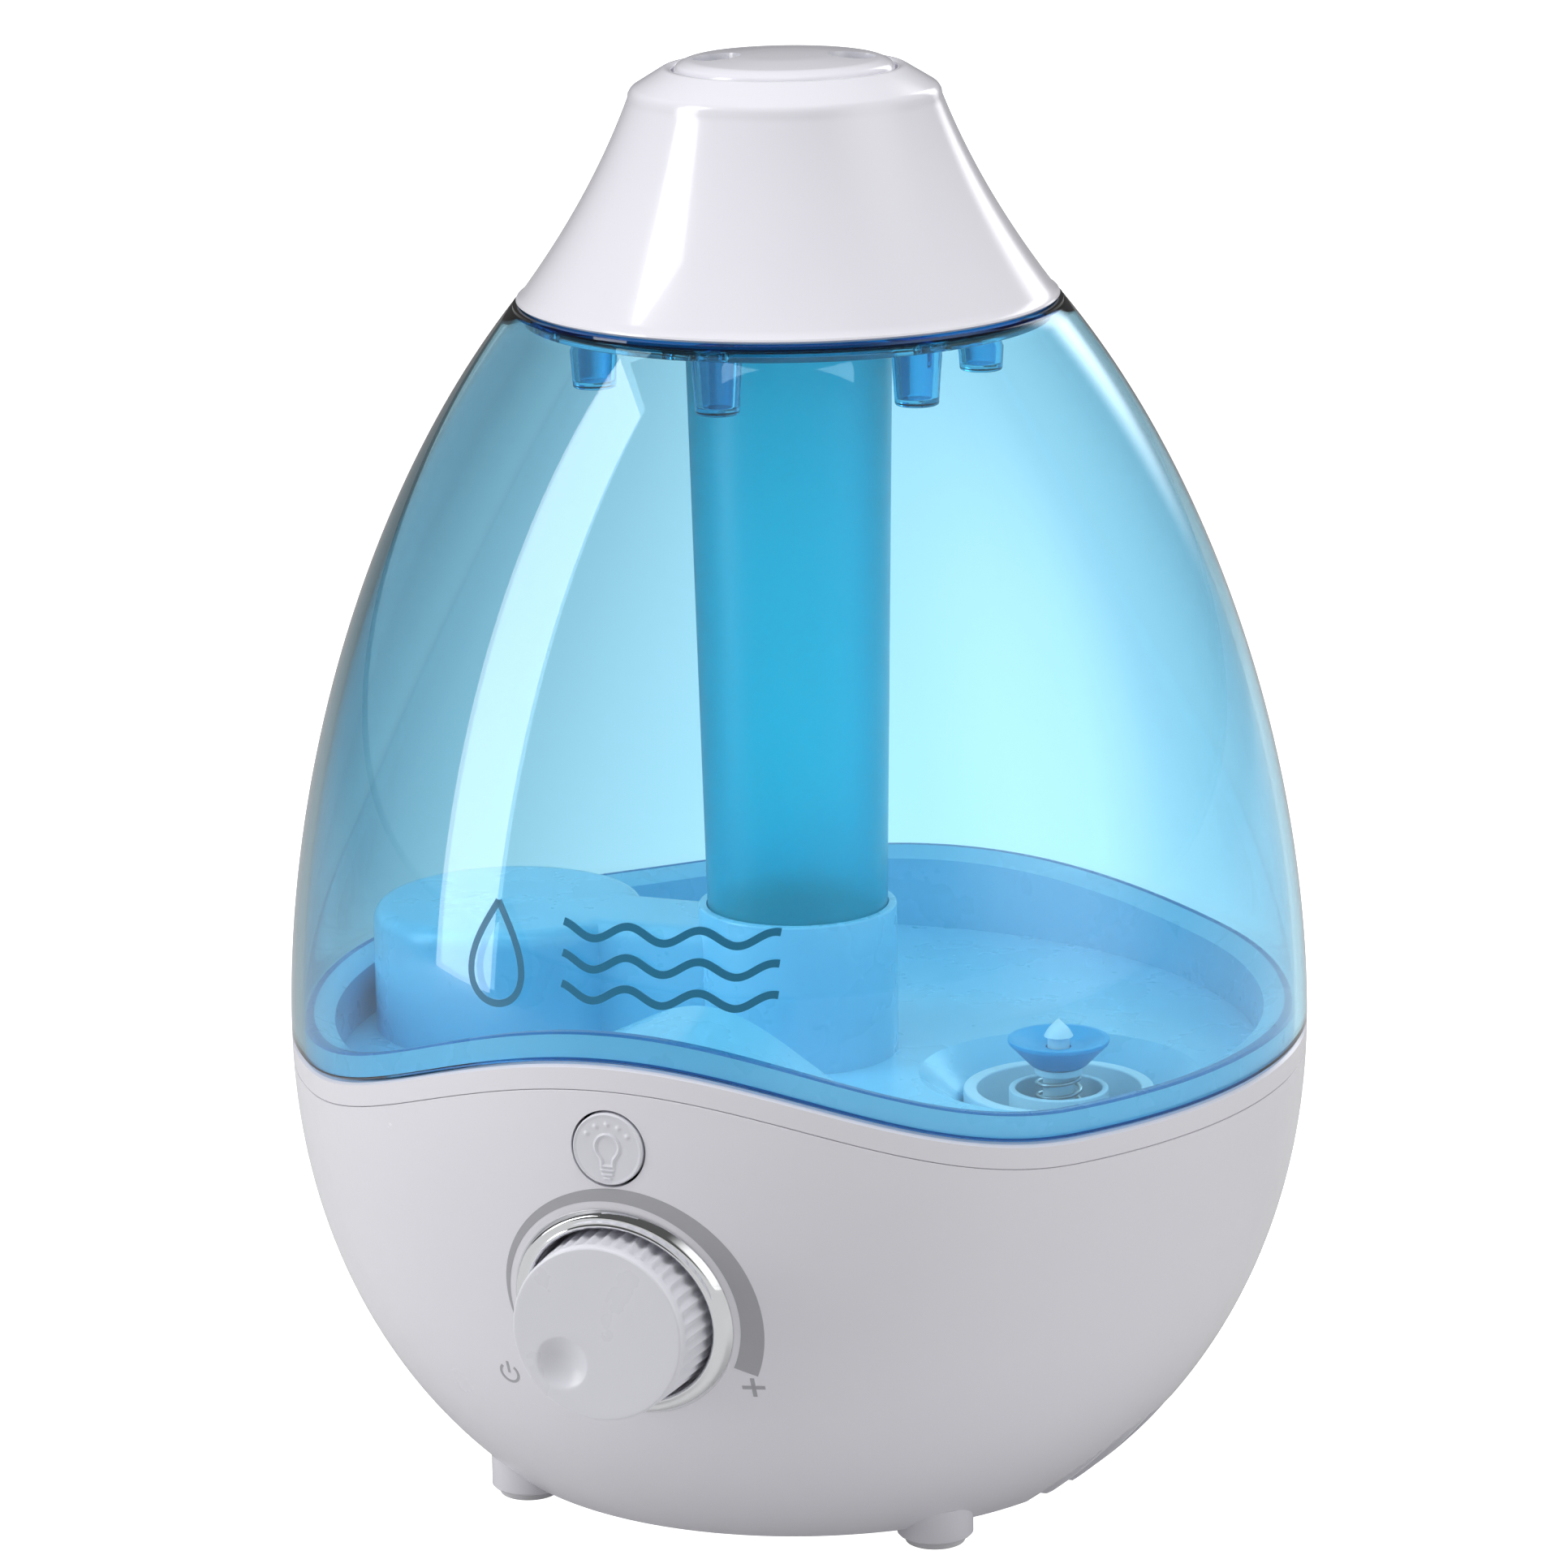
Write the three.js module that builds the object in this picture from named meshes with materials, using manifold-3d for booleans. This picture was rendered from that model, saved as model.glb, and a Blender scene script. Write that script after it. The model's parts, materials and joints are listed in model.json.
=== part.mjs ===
// Cool mist humidifier: a teardrop water tank standing on a bowl-shaped base.
// Millimetres, +Z up, the control panel faces -Y, the water valve is on +X and the mist maker on -X.
// An angle "around" is measured in degrees from the front (-Y) towards +X.
import * as THREE from "three";
import { mergeVertices } from "three/addons/utils/BufferGeometryUtils.js";
import Module from "manifold-3d";

const wasm = await Module();
wasm.setup();

// ---- driving dimensions -------------------------------------------------------------------------
const BODY_R = 106; // widest radius of tank and base
const WIDEST_Z = 97; // height of that widest ring
const TANK_RISE = 185.8; // height from the widest ring to where the tank's curve would close
const BOWL_DROP = 114.7; // depth from the widest ring to where the bowl's curve would close
const TANK_MOUTH = 0.80786; // how far up the tank's curve its mouth is cut
const TANK_TOP_Z = WIDEST_Z + TANK_RISE * TANK_MOUTH;
const CAP_BOW = 0.048; // depth of the cap side's hollow, as a share of its height
const NOZZLE_TOP_Z = TANK_TOP_Z + 49.9;
const BOWL_BOTTOM_Z = 4.2;
const SEAM_Z = 95.7; // where tank and base meet at the sides
const FRONT_RISE = 18.5; // how much the seam climbs over the control panel
const FRONT_HALF_ANGLE = 51.5;
const REAR_RISE = 4.5;
const REAR_HALF_ANGLE = 45;
const DECK_BAND = 5.2; // height of the white band above the bowl
const FLANGE_BAND = 5.5; // height of the tank floor's rim, inside the tank's wall

const BOWL_WALL = 2.6;
const TANK_WALL = 2.4;
const CAP_WALL = 2.4;
const FLOOR_WALL = 2;
const DECK_WALL = 2.2;
const GAP = 0.3; // between pieces that touch
const SLIDE_GAP = 0.6; // between the tank and the base it lifts off

const FOOT_CIRCLE_R = 63.5;
const FOOT_POST_R = 7.8;
const FOOT_PAD_R = 6.2;
const FOOT_PAD_H = 1.4;

const KNOB_Z = 62.2;
const KNOB_FACE_Y = -BODY_R - 8;
const KNOB_BASE_R = 18.6;
const KNOB_FACE_R = KNOB_BASE_R - 0.8;
const KNOB_DEPTH = 21; // from its face to its hidden rear edge
const KNOB_WALL = 2;
const DIMPLE_R = 5.3;
const DIMPLE_CENTRE_R = 10; // its distance from the knob's axis
const DIMPLE_DEPTH = 1.8;
const BEZEL_WIDTH = 3.6;
const BEZEL_PROUD = 2.2;
const SHAFT_R = 3;

const BUTTON_Z = 97.5;
const BUTTON_R = 7.3;
const BUTTON_TRAVEL = 1.2;

const CHIMNEY_FOOT_R = 18.8;
const CHIMNEY_TOP_R = CHIMNEY_FOOT_R + 2.6;
const CHIMNEY_WALL = 1.8;
const CHIMNEY_FOOT_Z = 112.3;
const CHIMNEY_TOP_Z = TANK_TOP_Z + 2.9;
const COLLAR_TOP_Z = 119.6;
const COLLAR_WALL = 1.6;

const FLOOR_TOP_Z = 88; // upper face of the tank's floor
const HUMP_Y = 54; // distance of the floor's front hump from the axis
const HUMP_RISE = 24;
const HOOD_X = -66; // centre of the mist chamber's round hood
const HOOD_R = 29;
const HOOD_TOP_Z = 115;
const HOOD_NECK_W = 25;

const WELL_X = 57; // centre of the filling neck and its valve
const NECK_R = 20.2; // inside radius of the filling neck
const WELL_MOUTH_R = NECK_R + 8.3;
const NECK_WALL = 2.2;
const NECK_FOOT_Z = 74;
const FILL_CAP_TOP_Z = 84.8;
const FILL_CAP_WALL = 2.8;
const FILL_CAP_FOOT_Z = 68.5;
const FILL_CAP_GRIP_R = NECK_R + 5.8;
const VALVE_TUBE_R = 10.3;
const VALVE_TUBE_WALL = 1.4;
const STEM_R = 3.3;
const STEM_FOOT_Z = 62;
const CONE_TOP_R = 10.5;
const CONE_FOOT_R = 5.7;
const CONE_FOOT_Z = 89.5;
const CONE_H = 5.7;

const DECK_TOP_Z = 84.5; // upper face of the base's deck, under the tank's floor
const POCKET_R = FILL_CAP_GRIP_R + 3;
const POCKET_FLOOR_Z = 50;
const POOL_X = -62;
const POOL_R = 16.5;
const POOL_FLOOR_Z = 42;
const TRENCH_W = 18;
const TRENCH_FLOOR_Z = 52;
const FLOAT_X = 6;
const FLOAT_Y = 20;
const FLOAT_POCKET_R = 12.5;
const FLOAT_FLOOR_Z = 54;
const FLOAT_R = 10.5;
const FLOAT_H = 12;
const PIN_R = 2.6;
const PORT_X = -86;
const PORT_SIZE = [6, 16]; // mist chamber's air inlet, X by Y
const PORT_LIP = 1.5;
const PORT_TOP_Z = 90;

const COVER_R = 55.6;
const COVER_H = 2;
const COVER_Z = 4.5;
const COVER_SCREW_CIRCLE_R = 52.8;
const SCREW_R = 1.5;
const GRIP_TOP_Z = 20;
const GRIP_FOOT_Z = 8;
const GRIP_DEPTH = 6; // depth of the hand recess at its foot
const GRIP_TOP_DEPTH = 1;
const GRIP_HALF_W = 34;
const GRIP_PITCH = 9; // from one air slit to the next
const GRIP_SLITS = 5;
const SLIT_W = 2.6;
const RIB_W = 1.8; // ribs that stand between the slits and keep the bowl's outline
const PANEL_BACKING = 2.4; // wall behind the knob's pocket and the hand recesses
const GLAND_Z = 34;
const GLAND_R = 4.2;

const FAN_CENTRE = [-44, 49];
const FAN_SIZE = 40;
const FAN_H = 11.7;
const FAN_BORE_R = 18.4;
const DUCT_START = -0.95; // the duct's two ends round the body, in radians from -X
const DUCT_END = 0.12;
const DUCT_WALL = 1.5;
const BOARD_T = 1.6;
const LENS_Y = -38;
const LENS_R = 7;

const ROUND = 32; // facets round the body
const FINE = 24;
const COARSE = 14;
const SMALL = 10;

// ---- solids -------------------------------------------------------------------------------------
function solid(geometry) {
  geometry.deleteAttribute("normal");
  geometry.deleteAttribute("uv");
  const merged = mergeVertices(geometry, 1e-4);
  const p = merged.attributes.position.array;
  const source = merged.index.array;
  const tri = [];
  let volume = 0;
  for (let i = 0; i < source.length; i += 3) {
    const [a, b, c] = [source[i], source[i + 1], source[i + 2]];
    if (a === b || b === c || a === c) continue;
    tri.push(a, b, c);
    const [u, v, w] = [a, b, c].map((k) => new THREE.Vector3(p[3 * k], p[3 * k + 1], p[3 * k + 2]));
    volume += u.dot(v.cross(w));
  }
  if (volume < 0) tri.reverse();
  const vertProperties = new Float32Array(p);
  const triVerts = new Uint32Array(tri);
  const mesh = new wasm.Mesh({ numProp: 3, vertProperties, triVerts });
  return new wasm.Manifold(mesh);
}

function union(...pieces) {
  return pieces.reduce((a, b) => a.add(b));
}

// A closed outline of [radius, z] points turned about the vertical line through x, y.
function turned(outline, x = 0, y = 0, facets = FINE) {
  const points = outline.map(([r, z]) => new THREE.Vector2(r, z));
  if (outline[0][0] > 0 || outline.at(-1)[0] > 0) points.push(points[0].clone());
  const geometry = new THREE.LatheGeometry(points, facets);
  geometry.rotateX(Math.PI / 2);
  geometry.translate(x, y, 0);
  return solid(geometry);
}

function disc(r, z0, z1, x = 0, y = 0, facets = FINE) {
  return turned([[0, z0], [r, z0], [r, z1], [0, z1]], x, y, facets);
}

function tube(rOut, rIn, z0, z1, x = 0, y = 0, facets = FINE) {
  return turned([[rIn, z0], [rOut, z0], [rOut, z1], [rIn, z1]], x, y, facets);
}

// A disc on a level axis that runs towards the front, from y0 to y1, at height z.
function levelDisc(r, y0, y1, z, x = 0, facets = FINE) {
  const geometry = new THREE.CylinderGeometry(r, r, y1 - y0, facets);
  geometry.translate(x, (y0 + y1) / 2, z);
  return solid(geometry);
}

function block(x0, x1, y0, y1, z0, z1) {
  const geometry = new THREE.BoxGeometry(x1 - x0, y1 - y0, z1 - z0);
  geometry.translate((x0 + x1) / 2, (y0 + y1) / 2, (z0 + z1) / 2);
  return solid(geometry);
}

function spun(manifold, degrees) {
  return manifold.rotate([0, 0, degrees]);
}

// A ring whose section changes as it goes round: section(angle) gives [radius, z] points of a closed outline.
function wavyRing(section, facets = ROUND) {
  const rows = [];
  for (let i = 0; i < facets; i++) rows.push(section((360 * i) / facets - 180).map((q) => [...q, i]));
  const n = rows[0].length;
  const position = [];
  for (const [r, z, i] of rows.flat()) {
    const a = (2 * Math.PI * i) / facets - Math.PI;
    position.push(r * Math.sin(a), -r * Math.cos(a), z);
  }
  const index = [];
  for (let i = 0; i < facets; i++) {
    for (let j = 0; j < n; j++) {
      const a = i * n + j;
      const b = i * n + ((j + 1) % n);
      const c = ((i + 1) % facets) * n + j;
      const d = ((i + 1) % facets) * n + ((j + 1) % n);
      index.push(a, b, d, a, d, c);
    }
  }
  const geometry = new THREE.BufferGeometry();
  geometry.setAttribute("position", new THREE.Float32BufferAttribute(position, 3));
  geometry.setIndex(index);
  return solid(geometry);
}

// ---- the body's outline -------------------------------------------------------------------------
// Above its widest ring the body is one blunt oval curve, below it another.
function bodyR(z) {
  const above = z > WIDEST_Z;
  const u = above ? (z - WIDEST_Z) / TANK_RISE : (WIDEST_Z - z) / BOWL_DROP;
  const [p, q] = above ? [1.85, 1.75] : [2.1, 2.16];
  return BODY_R * Math.pow(1 - Math.pow(u, p), 1 / q);
}

function bell(angle, half) {
  return Math.abs(angle) < half ? (1 + Math.cos((Math.PI * angle) / half)) / 2 : 0;
}

function seamZ(angle) {
  const rear = 180 - Math.abs(angle);
  return SEAM_Z + FRONT_RISE * bell(angle, FRONT_HALF_ANGLE) + REAR_RISE * bell(rear, REAR_HALF_ANGLE);
}

// Points up the body's side between two heights, drawn in by some distance.
function side(z0, z1, inset, steps) {
  return Array.from({ length: steps + 1 }, (_, i) => {
    const z = z0 + ((z1 - z0) * i) / steps;
    return [bodyR(z) - inset, z];
  });
}

const nodes = [];

function piece(name, manifold, look, place = {}) {
  const mesh = manifold.getMesh();
  const geometry = new THREE.BufferGeometry();
  geometry.setAttribute("position", new THREE.Float32BufferAttribute(mesh.vertProperties, 3));
  geometry.setIndex([...mesh.triVerts]);
  geometry.computeVertexNormals();
  const node = new THREE.Mesh(geometry, new THREE.MeshStandardMaterial(look));
  node.name = name;
  node.position.set(place.x ?? 0, place.y ?? 0, place.z ?? 0);
  nodes.push(node);
}

const WHITE = { color: 0xdedce6, roughness: 0.3, metalness: 0 };
const BLUE = { color: 0x3fb4dd, roughness: 0.1, metalness: 0, transparent: true, opacity: 0.45 };
const MILKY = { color: 0x8fcdec, roughness: 0.3, metalness: 0 };
const DEEP_BLUE = { color: 0x1c86c8, roughness: 0.4, metalness: 0 };
const CHROME = { color: 0xd8dadc, roughness: 0.08, metalness: 1 };
const GREY = { color: 0x8a8c90, roughness: 0.6, metalness: 0 };
const BLACK = { color: 0x1b1c1f, roughness: 0.5, metalness: 0 };
const BOARD = { color: 0x1d6b3c, roughness: 0.5, metalness: 0 };
const STEEL = { color: 0xa9acb0, roughness: 0.3, metalness: 1 };
const RUBBER = { color: 0xb9bcc2, roughness: 0.9, metalness: 0 };
const BRASS = { color: 0xb99a4a, roughness: 0.35, metalness: 1 };

// ---- base housing -------------------------------------------------------------------------------
const COVER_SEAT_R = COVER_R + 0.4;
const LEDGE_R = COVER_R - 5.6;
const LEDGE_Z = COVER_Z + COVER_H + GAP;
const LEDGE_TOP_Z = LEDGE_Z + 2.4;
const PANEL_FLOOR_Y = KNOB_FACE_Y + KNOB_DEPTH + 2.7; // outer face of the knob pocket's floor
const POCKET_WALL_R = KNOB_BASE_R + 0.6;
const POT_SIDE_Y = PANEL_FLOOR_Y + PANEL_BACKING; // inner face of the knob pocket's floor
const BUSH_R = SHAFT_R + 1.8;
const GLAND_BOSS_R = GLAND_R + 4.8;
const GLAND_BOSS_DEPTH = 12;
const GLAND_FACE_Y = bodyR(GLAND_Z + GLAND_BOSS_R) - 0.6;

function bowlSolid() {
  const outline = [[0, BOWL_BOTTOM_Z], ...side(BOWL_BOTTOM_Z, SEAM_Z + FRONT_RISE, 0, 8)];
  return turned([...outline, [0, SEAM_Z + FRONT_RISE]], 0, 0, ROUND);
}

// The hand recess is a flat cut across the bowl's lower side, so its ends fade out into the curve.
function gripPlane(depth, halfWidth) {
  const foot = [bodyR(GRIP_FOOT_Z) - GRIP_DEPTH - depth, GRIP_FOOT_Z];
  const top = [bodyR(GRIP_TOP_Z) - GRIP_TOP_DEPTH - depth, GRIP_TOP_Z];
  const below = 0.4; // how far the slope runs on past the foot, as a share of its length
  const shape = new THREE.Shape();
  shape.moveTo(foot[0] - (top[0] - foot[0]) * below, foot[1] - (top[1] - foot[1]) * below);
  shape.lineTo(BODY_R, BOWL_BOTTOM_Z - 5);
  shape.lineTo(BODY_R, GRIP_TOP_Z);
  shape.lineTo(top[0], top[1]);
  const geometry = new THREE.ExtrudeGeometry(shape, { depth: 2 * halfWidth, bevelEnabled: false });
  geometry.rotateX(Math.PI / 2);
  geometry.translate(0, halfWidth, 0);
  return solid(geometry);
}

function baseHousing() {
  const bowl = bowlSolid();
  let shell = wavyRing((a) => {
    const top = seamZ(a) - DECK_BAND - GAP;
    const outer = side(BOWL_BOTTOM_Z, top, 0, 6);
    const inner = side(LEDGE_TOP_Z, top, BOWL_WALL, 5).reverse();
    const seat = [
      [LEDGE_R, LEDGE_TOP_Z], [LEDGE_R, LEDGE_Z], [COVER_SEAT_R, LEDGE_Z], [COVER_SEAT_R, BOWL_BOTTOM_Z],
    ];
    return [...outer, ...inner, ...seat];
  });
  const cup = levelDisc(POCKET_WALL_R + PANEL_BACKING, -BODY_R, POT_SIDE_Y, KNOB_Z).intersect(bowl);
  const boss = levelDisc(GLAND_BOSS_R, GLAND_FACE_Y - GLAND_BOSS_DEPTH, GLAND_FACE_Y, GLAND_Z, 0, COARSE);
  shell = shell.add(cup).add(boss.subtract(innerBowl()));
  for (const flip of [0, 180]) {
    const backing = gripPlane(PANEL_BACKING, GRIP_HALF_W + 1).intersect(bowl);
    shell = shell.add(spun(backing, flip)).subtract(spun(handRecess(), flip));
  }
  for (const [x, y] of places(FOOT_CIRCLE_R, [45, 135, 225, 315])) {
    shell = shell.add(disc(FOOT_POST_R, FOOT_PAD_H + GAP, LEDGE_TOP_Z, x, y, COARSE));
  }
  for (const [x, y] of places(COVER_SCREW_CIRCLE_R, [0, 90, 180, 270])) {
    shell = shell.subtract(disc(SCREW_R + GAP, 0, LEDGE_TOP_Z + 1, x, y, SMALL));
  }
  return shell
    .subtract(levelDisc(POCKET_WALL_R, -2 * BODY_R, PANEL_FLOOR_Y, KNOB_Z))
    .subtract(levelDisc(BUSH_R + GAP + 0.2, -BODY_R, POT_SIDE_Y + 1, KNOB_Z, 0, COARSE))
    .subtract(levelDisc(BUTTON_R + 0.35, -2 * BODY_R, -BODY_R + 12, BUTTON_Z, 0, COARSE + 4))
    .subtract(levelDisc(GLAND_R + GAP, 0, 2 * BODY_R, GLAND_Z, 0, COARSE));
}

// The recess on +X: the flat cut without its ribs, and the air slits through the wall behind it.
function handRecess() {
  let recess = gripPlane(0, GRIP_HALF_W);
  const slitsW = GRIP_SLITS * GRIP_PITCH;
  for (let i = 0; i <= GRIP_SLITS; i++) {
    const y = i * GRIP_PITCH - slitsW / 2;
    const rib = block(0, 2 * BODY_R, y - RIB_W / 2, y + RIB_W / 2, -BOWL_DROP, GRIP_TOP_Z + 1);
    recess = recess.subtract(rib);
  }
  const inner = bodyR(GRIP_FOOT_Z) - GRIP_DEPTH;
  for (let i = 0; i < GRIP_SLITS; i++) {
    const y = (i + 0.5) * GRIP_PITCH - slitsW / 2;
    const slit = block(inner, BODY_R, y - SLIT_W / 2, y + SLIT_W / 2, GRIP_FOOT_Z + 2, GRIP_TOP_Z - 1.5);
    recess = recess.add(slit);
  }
  return recess;
}

// Points on a circle round the body's axis at some angles, in degrees from +X towards the back.
function places(r, angles) {
  return angles.map((angle) => {
    const a = (angle * Math.PI) / 180;
    return [r * Math.cos(a), r * Math.sin(a)];
  });
}

function innerBowl() {
  const outline = [[0, LEDGE_TOP_Z], ...side(LEDGE_TOP_Z, SEAM_Z, BOWL_WALL, 10), [0, SEAM_Z]];
  return turned(outline, 0, 0, ROUND);
}

piece("base_housing", baseHousing(), WHITE);

places(FOOT_CIRCLE_R, [45, 135, 225, 315]).forEach(([x, y], i) => {
  piece(`foot_pad_${i + 1}`, disc(FOOT_PAD_R, 0, FOOT_PAD_H, 0, 0, COARSE), RUBBER, { x, y });
});

function baseCover() {
  let plate = disc(COVER_R, COVER_Z, COVER_Z + COVER_H, 0, 0, ROUND);
  for (let i = 0; i < 7; i++) {
    const x = (i - 3) * 8;
    plate = plate.subtract(block(x - 1.5, x + 1.5, -34, -10, 0, 20));
  }
  for (const [x, y] of places(COVER_SCREW_CIRCLE_R, [0, 90, 180, 270])) {
    plate = plate.subtract(disc(SCREW_R + GAP, 0, COVER_Z + COVER_H + 1, x, y, SMALL));
  }
  return plate;
}
piece("base_cover", baseCover(), WHITE);

places(COVER_SCREW_CIRCLE_R, [0, 90, 180, 270]).forEach(([x, y], i) => {
  const headTop = COVER_Z - GAP;
  const tip = LEDGE_TOP_Z - 0.4;
  const outline = [
    [0, headTop - 1], [2.6, headTop - 1], [2.8, headTop], [SCREW_R, headTop], [SCREW_R, tip], [0, tip],
  ];
  piece(`cover_screw_${i + 1}`, turned(outline, 0, 0, 12), STEEL, { x, y });
});

// ---- base deck: rim, console over the electronics, basin, pool, float pocket ---------------------
const DECK_FOOT_Z = DECK_TOP_Z - 2.5;
const DECK_WALL_OUT = bodyR(DECK_FOOT_Z) - BOWL_WALL - 0.5;
const DECK_WALL_IN = DECK_WALL_OUT - DECK_WALL;
const DISH_R = DECK_WALL_IN - SLIDE_GAP; // outside of the tank floor's dish
const CONSOLE_Y = HUMP_Y + 3.6;
const CONSOLE_HALF_ANGLE = 44;
const CONSOLE_CLEAR = 1.5;
const PANEL_HALF_ANGLE = 16; // half width of the opening behind the control panel

// A block over part of the front: between the level line y = -near and a radius, up to a bell-shaped roof.
function frontBlock(near, far, halfAngle, z0, roof, steps = 12) {
  const position = [];
  for (let i = 0; i <= steps; i++) {
    const degrees = (2 * i * halfAngle) / steps - halfAngle;
    const a = (degrees * Math.PI) / 180;
    for (const r of [near / Math.cos(a), far]) {
      for (const z of [z0, roof(degrees)]) position.push(r * Math.sin(a), -r * Math.cos(a), z);
    }
  }
  const index = [];
  const quad = (a, b, c, d) => index.push(a, b, c, a, c, d);
  for (let i = 0; i < steps; i++) {
    const k = 4 * i;
    quad(k, k + 2, k + 6, k + 4);
    quad(k + 1, k + 5, k + 7, k + 3);
    quad(k, k + 4, k + 5, k + 1);
    quad(k + 2, k + 3, k + 7, k + 6);
  }
  quad(0, 1, 3, 2);
  const e = 4 * steps;
  quad(e, e + 2, e + 3, e + 1);
  const geometry = new THREE.BufferGeometry();
  geometry.setAttribute("position", new THREE.Float32BufferAttribute(position, 3));
  geometry.setIndex(index);
  return solid(geometry);
}

function roofOver(z) {
  return (angle) => z + HUMP_RISE * bell(angle, FRONT_HALF_ANGLE);
}

function baseDeck() {
  const rim = wavyRing((a) => {
    const seam = seamZ(a) - GAP;
    const band = seamZ(a) - DECK_BAND;
    const mouth = DECK_WALL_IN + 1.4;
    return [
      [DECK_WALL_IN, DECK_FOOT_Z], [DECK_WALL_OUT, DECK_FOOT_Z], [DECK_WALL_OUT, band],
      [bodyR(band), band], [bodyR(seam), seam], [mouth, seam], [DECK_WALL_IN, seam - 2],
    ];
  });
  const pocketOut = POCKET_R + DECK_WALL;
  const poolOut = POOL_R + DECK_WALL;
  const trenchOut = TRENCH_W / 2 + DECK_WALL;
  const floatOut = FLOAT_POCKET_R + DECK_WALL;
  const top = DECK_TOP_Z;
  let deck = union(
    rim,
    disc(DECK_WALL_IN + 0.5, DECK_FOOT_Z, top, 0, 0, ROUND),
    frontBlock(CONSOLE_Y, DECK_WALL_IN + 0.5, CONSOLE_HALF_ANGLE, DECK_FOOT_Z, roofOver(top)),
    disc(pocketOut, POCKET_FLOOR_Z - DECK_WALL, top, WELL_X, 0),
    disc(poolOut, POOL_FLOOR_Z - DECK_WALL, top, POOL_X, 0),
    disc(floatOut, FLOAT_FLOOR_Z - DECK_WALL, top, FLOAT_X, FLOAT_Y),
    block(POOL_X, WELL_X, -trenchOut, trenchOut, TRENCH_FLOOR_Z - DECK_WALL, top),
    portBlock(PORT_LIP, DECK_FOOT_Z, PORT_TOP_Z),
  );
  const inside = CONSOLE_HALF_ANGLE - 2;
  const roof = roofOver(top - 2.5);
  const ceiling = (angle) => Math.max(roof(angle), top - 1);
  const consoleRoom = frontBlock(CONSOLE_Y + DECK_WALL, DECK_WALL_IN - 1.5, inside, DECK_FOOT_Z - 1, ceiling);
  deck = deck
    .subtract(consoleRoom)
    .subtract(disc(POCKET_R, POCKET_FLOOR_Z, top + 1, WELL_X, 0))
    .subtract(disc(POOL_R, POOL_FLOOR_Z, top + 1, POOL_X, 0))
    .subtract(disc(9, POOL_FLOOR_Z - 5, top, POOL_X, 0, COARSE))
    .subtract(disc(FLOAT_POCKET_R, FLOAT_FLOOR_Z, top + 1, FLOAT_X, FLOAT_Y))
    .subtract(block(POOL_X, WELL_X, -TRENCH_W / 2, TRENCH_W / 2, TRENCH_FLOOR_Z, top + 1))
    .subtract(portBlock(0, DECK_FOOT_Z - 1, PORT_TOP_Z + 1))
    .subtract(disc(LENS_R + GAP, DECK_FOOT_Z - 1, top + 1, 0, LENS_Y, COARSE))
    .subtract(frontBlock(DECK_WALL_IN - 8, DECK_WALL_OUT + 1, PANEL_HALF_ANGLE, DECK_FOOT_Z - 1, roof, 4));
  const post = disc(4, POCKET_FLOOR_Z - 1, STEM_FOOT_Z - GAP, WELL_X, 0, 12);
  const pin = disc(PIN_R, FLOAT_FLOOR_Z - 1, PIN_TOP_Z, FLOAT_X, FLOAT_Y, 12);
  return deck.add(post).add(pin);
}

const PIN_TOP_Z = DECK_TOP_Z - 1;

function portBlock(grow, z0, z1) {
  const [w, d] = PORT_SIZE;
  return block(PORT_X - w / 2 - grow, PORT_X + w / 2 + grow, -d / 2 - grow, d / 2 + grow, z0, z1);
}

piece("base_deck", baseDeck(), WHITE);

const WINDOW = disc(LENS_R, DECK_FOOT_Z, DECK_TOP_Z, 0, LENS_Y, COARSE);
piece("light_window", WINDOW, BLUE);

// ---- controls -----------------------------------------------------------------------------------
// The bezel is a rounded ring that lies on the curved panel round the knob.
function bezel() {
  const facets = 32;
  const rIn = POCKET_WALL_R + 0.1;
  const section = [
    [0, GAP], [0.4, BEZEL_PROUD * 0.6], [1.4, BEZEL_PROUD], [2.4, BEZEL_PROUD * 0.8], [BEZEL_WIDTH, GAP],
  ];
  const position = [];
  for (let i = 0; i < facets; i++) {
    const a = (2 * Math.PI * i) / facets;
    for (const [out, proud] of section) {
      const r = rIn + out;
      const x = r * Math.cos(a);
      const z = KNOB_Z + r * Math.sin(a);
      const y = -Math.sqrt(bodyR(z) ** 2 - x * x) - proud;
      position.push(x, y, z);
    }
  }
  const n = section.length;
  const index = [];
  for (let i = 0; i < facets; i++) {
    for (let j = 0; j < n; j++) {
      const a = i * n + j;
      const b = i * n + ((j + 1) % n);
      const c = ((i + 1) % facets) * n + j;
      const d = ((i + 1) % facets) * n + ((j + 1) % n);
      index.push(a, b, d, a, d, c);
    }
  }
  const geometry = new THREE.BufferGeometry();
  geometry.setAttribute("position", new THREE.Float32BufferAttribute(position, 3));
  geometry.setIndex(index);
  return solid(geometry);
}
piece("knob_bezel", bezel(), CHROME);

// An outline of [radius, y] points turned about the knob's level axis.
function levelTurned(outline, z, facets = FINE) {
  const points = outline.map(([r, y]) => new THREE.Vector2(r, y));
  if (outline[0][0] > 0 || outline.at(-1)[0] > 0) points.push(points[0].clone());
  const geometry = new THREE.LatheGeometry(points, facets);
  geometry.translate(0, 0, z);
  return solid(geometry);
}

const KNOB_REAR_Y = KNOB_FACE_Y + KNOB_DEPTH;
const POT_FACE_Y = POT_SIDE_Y + GAP;

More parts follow.
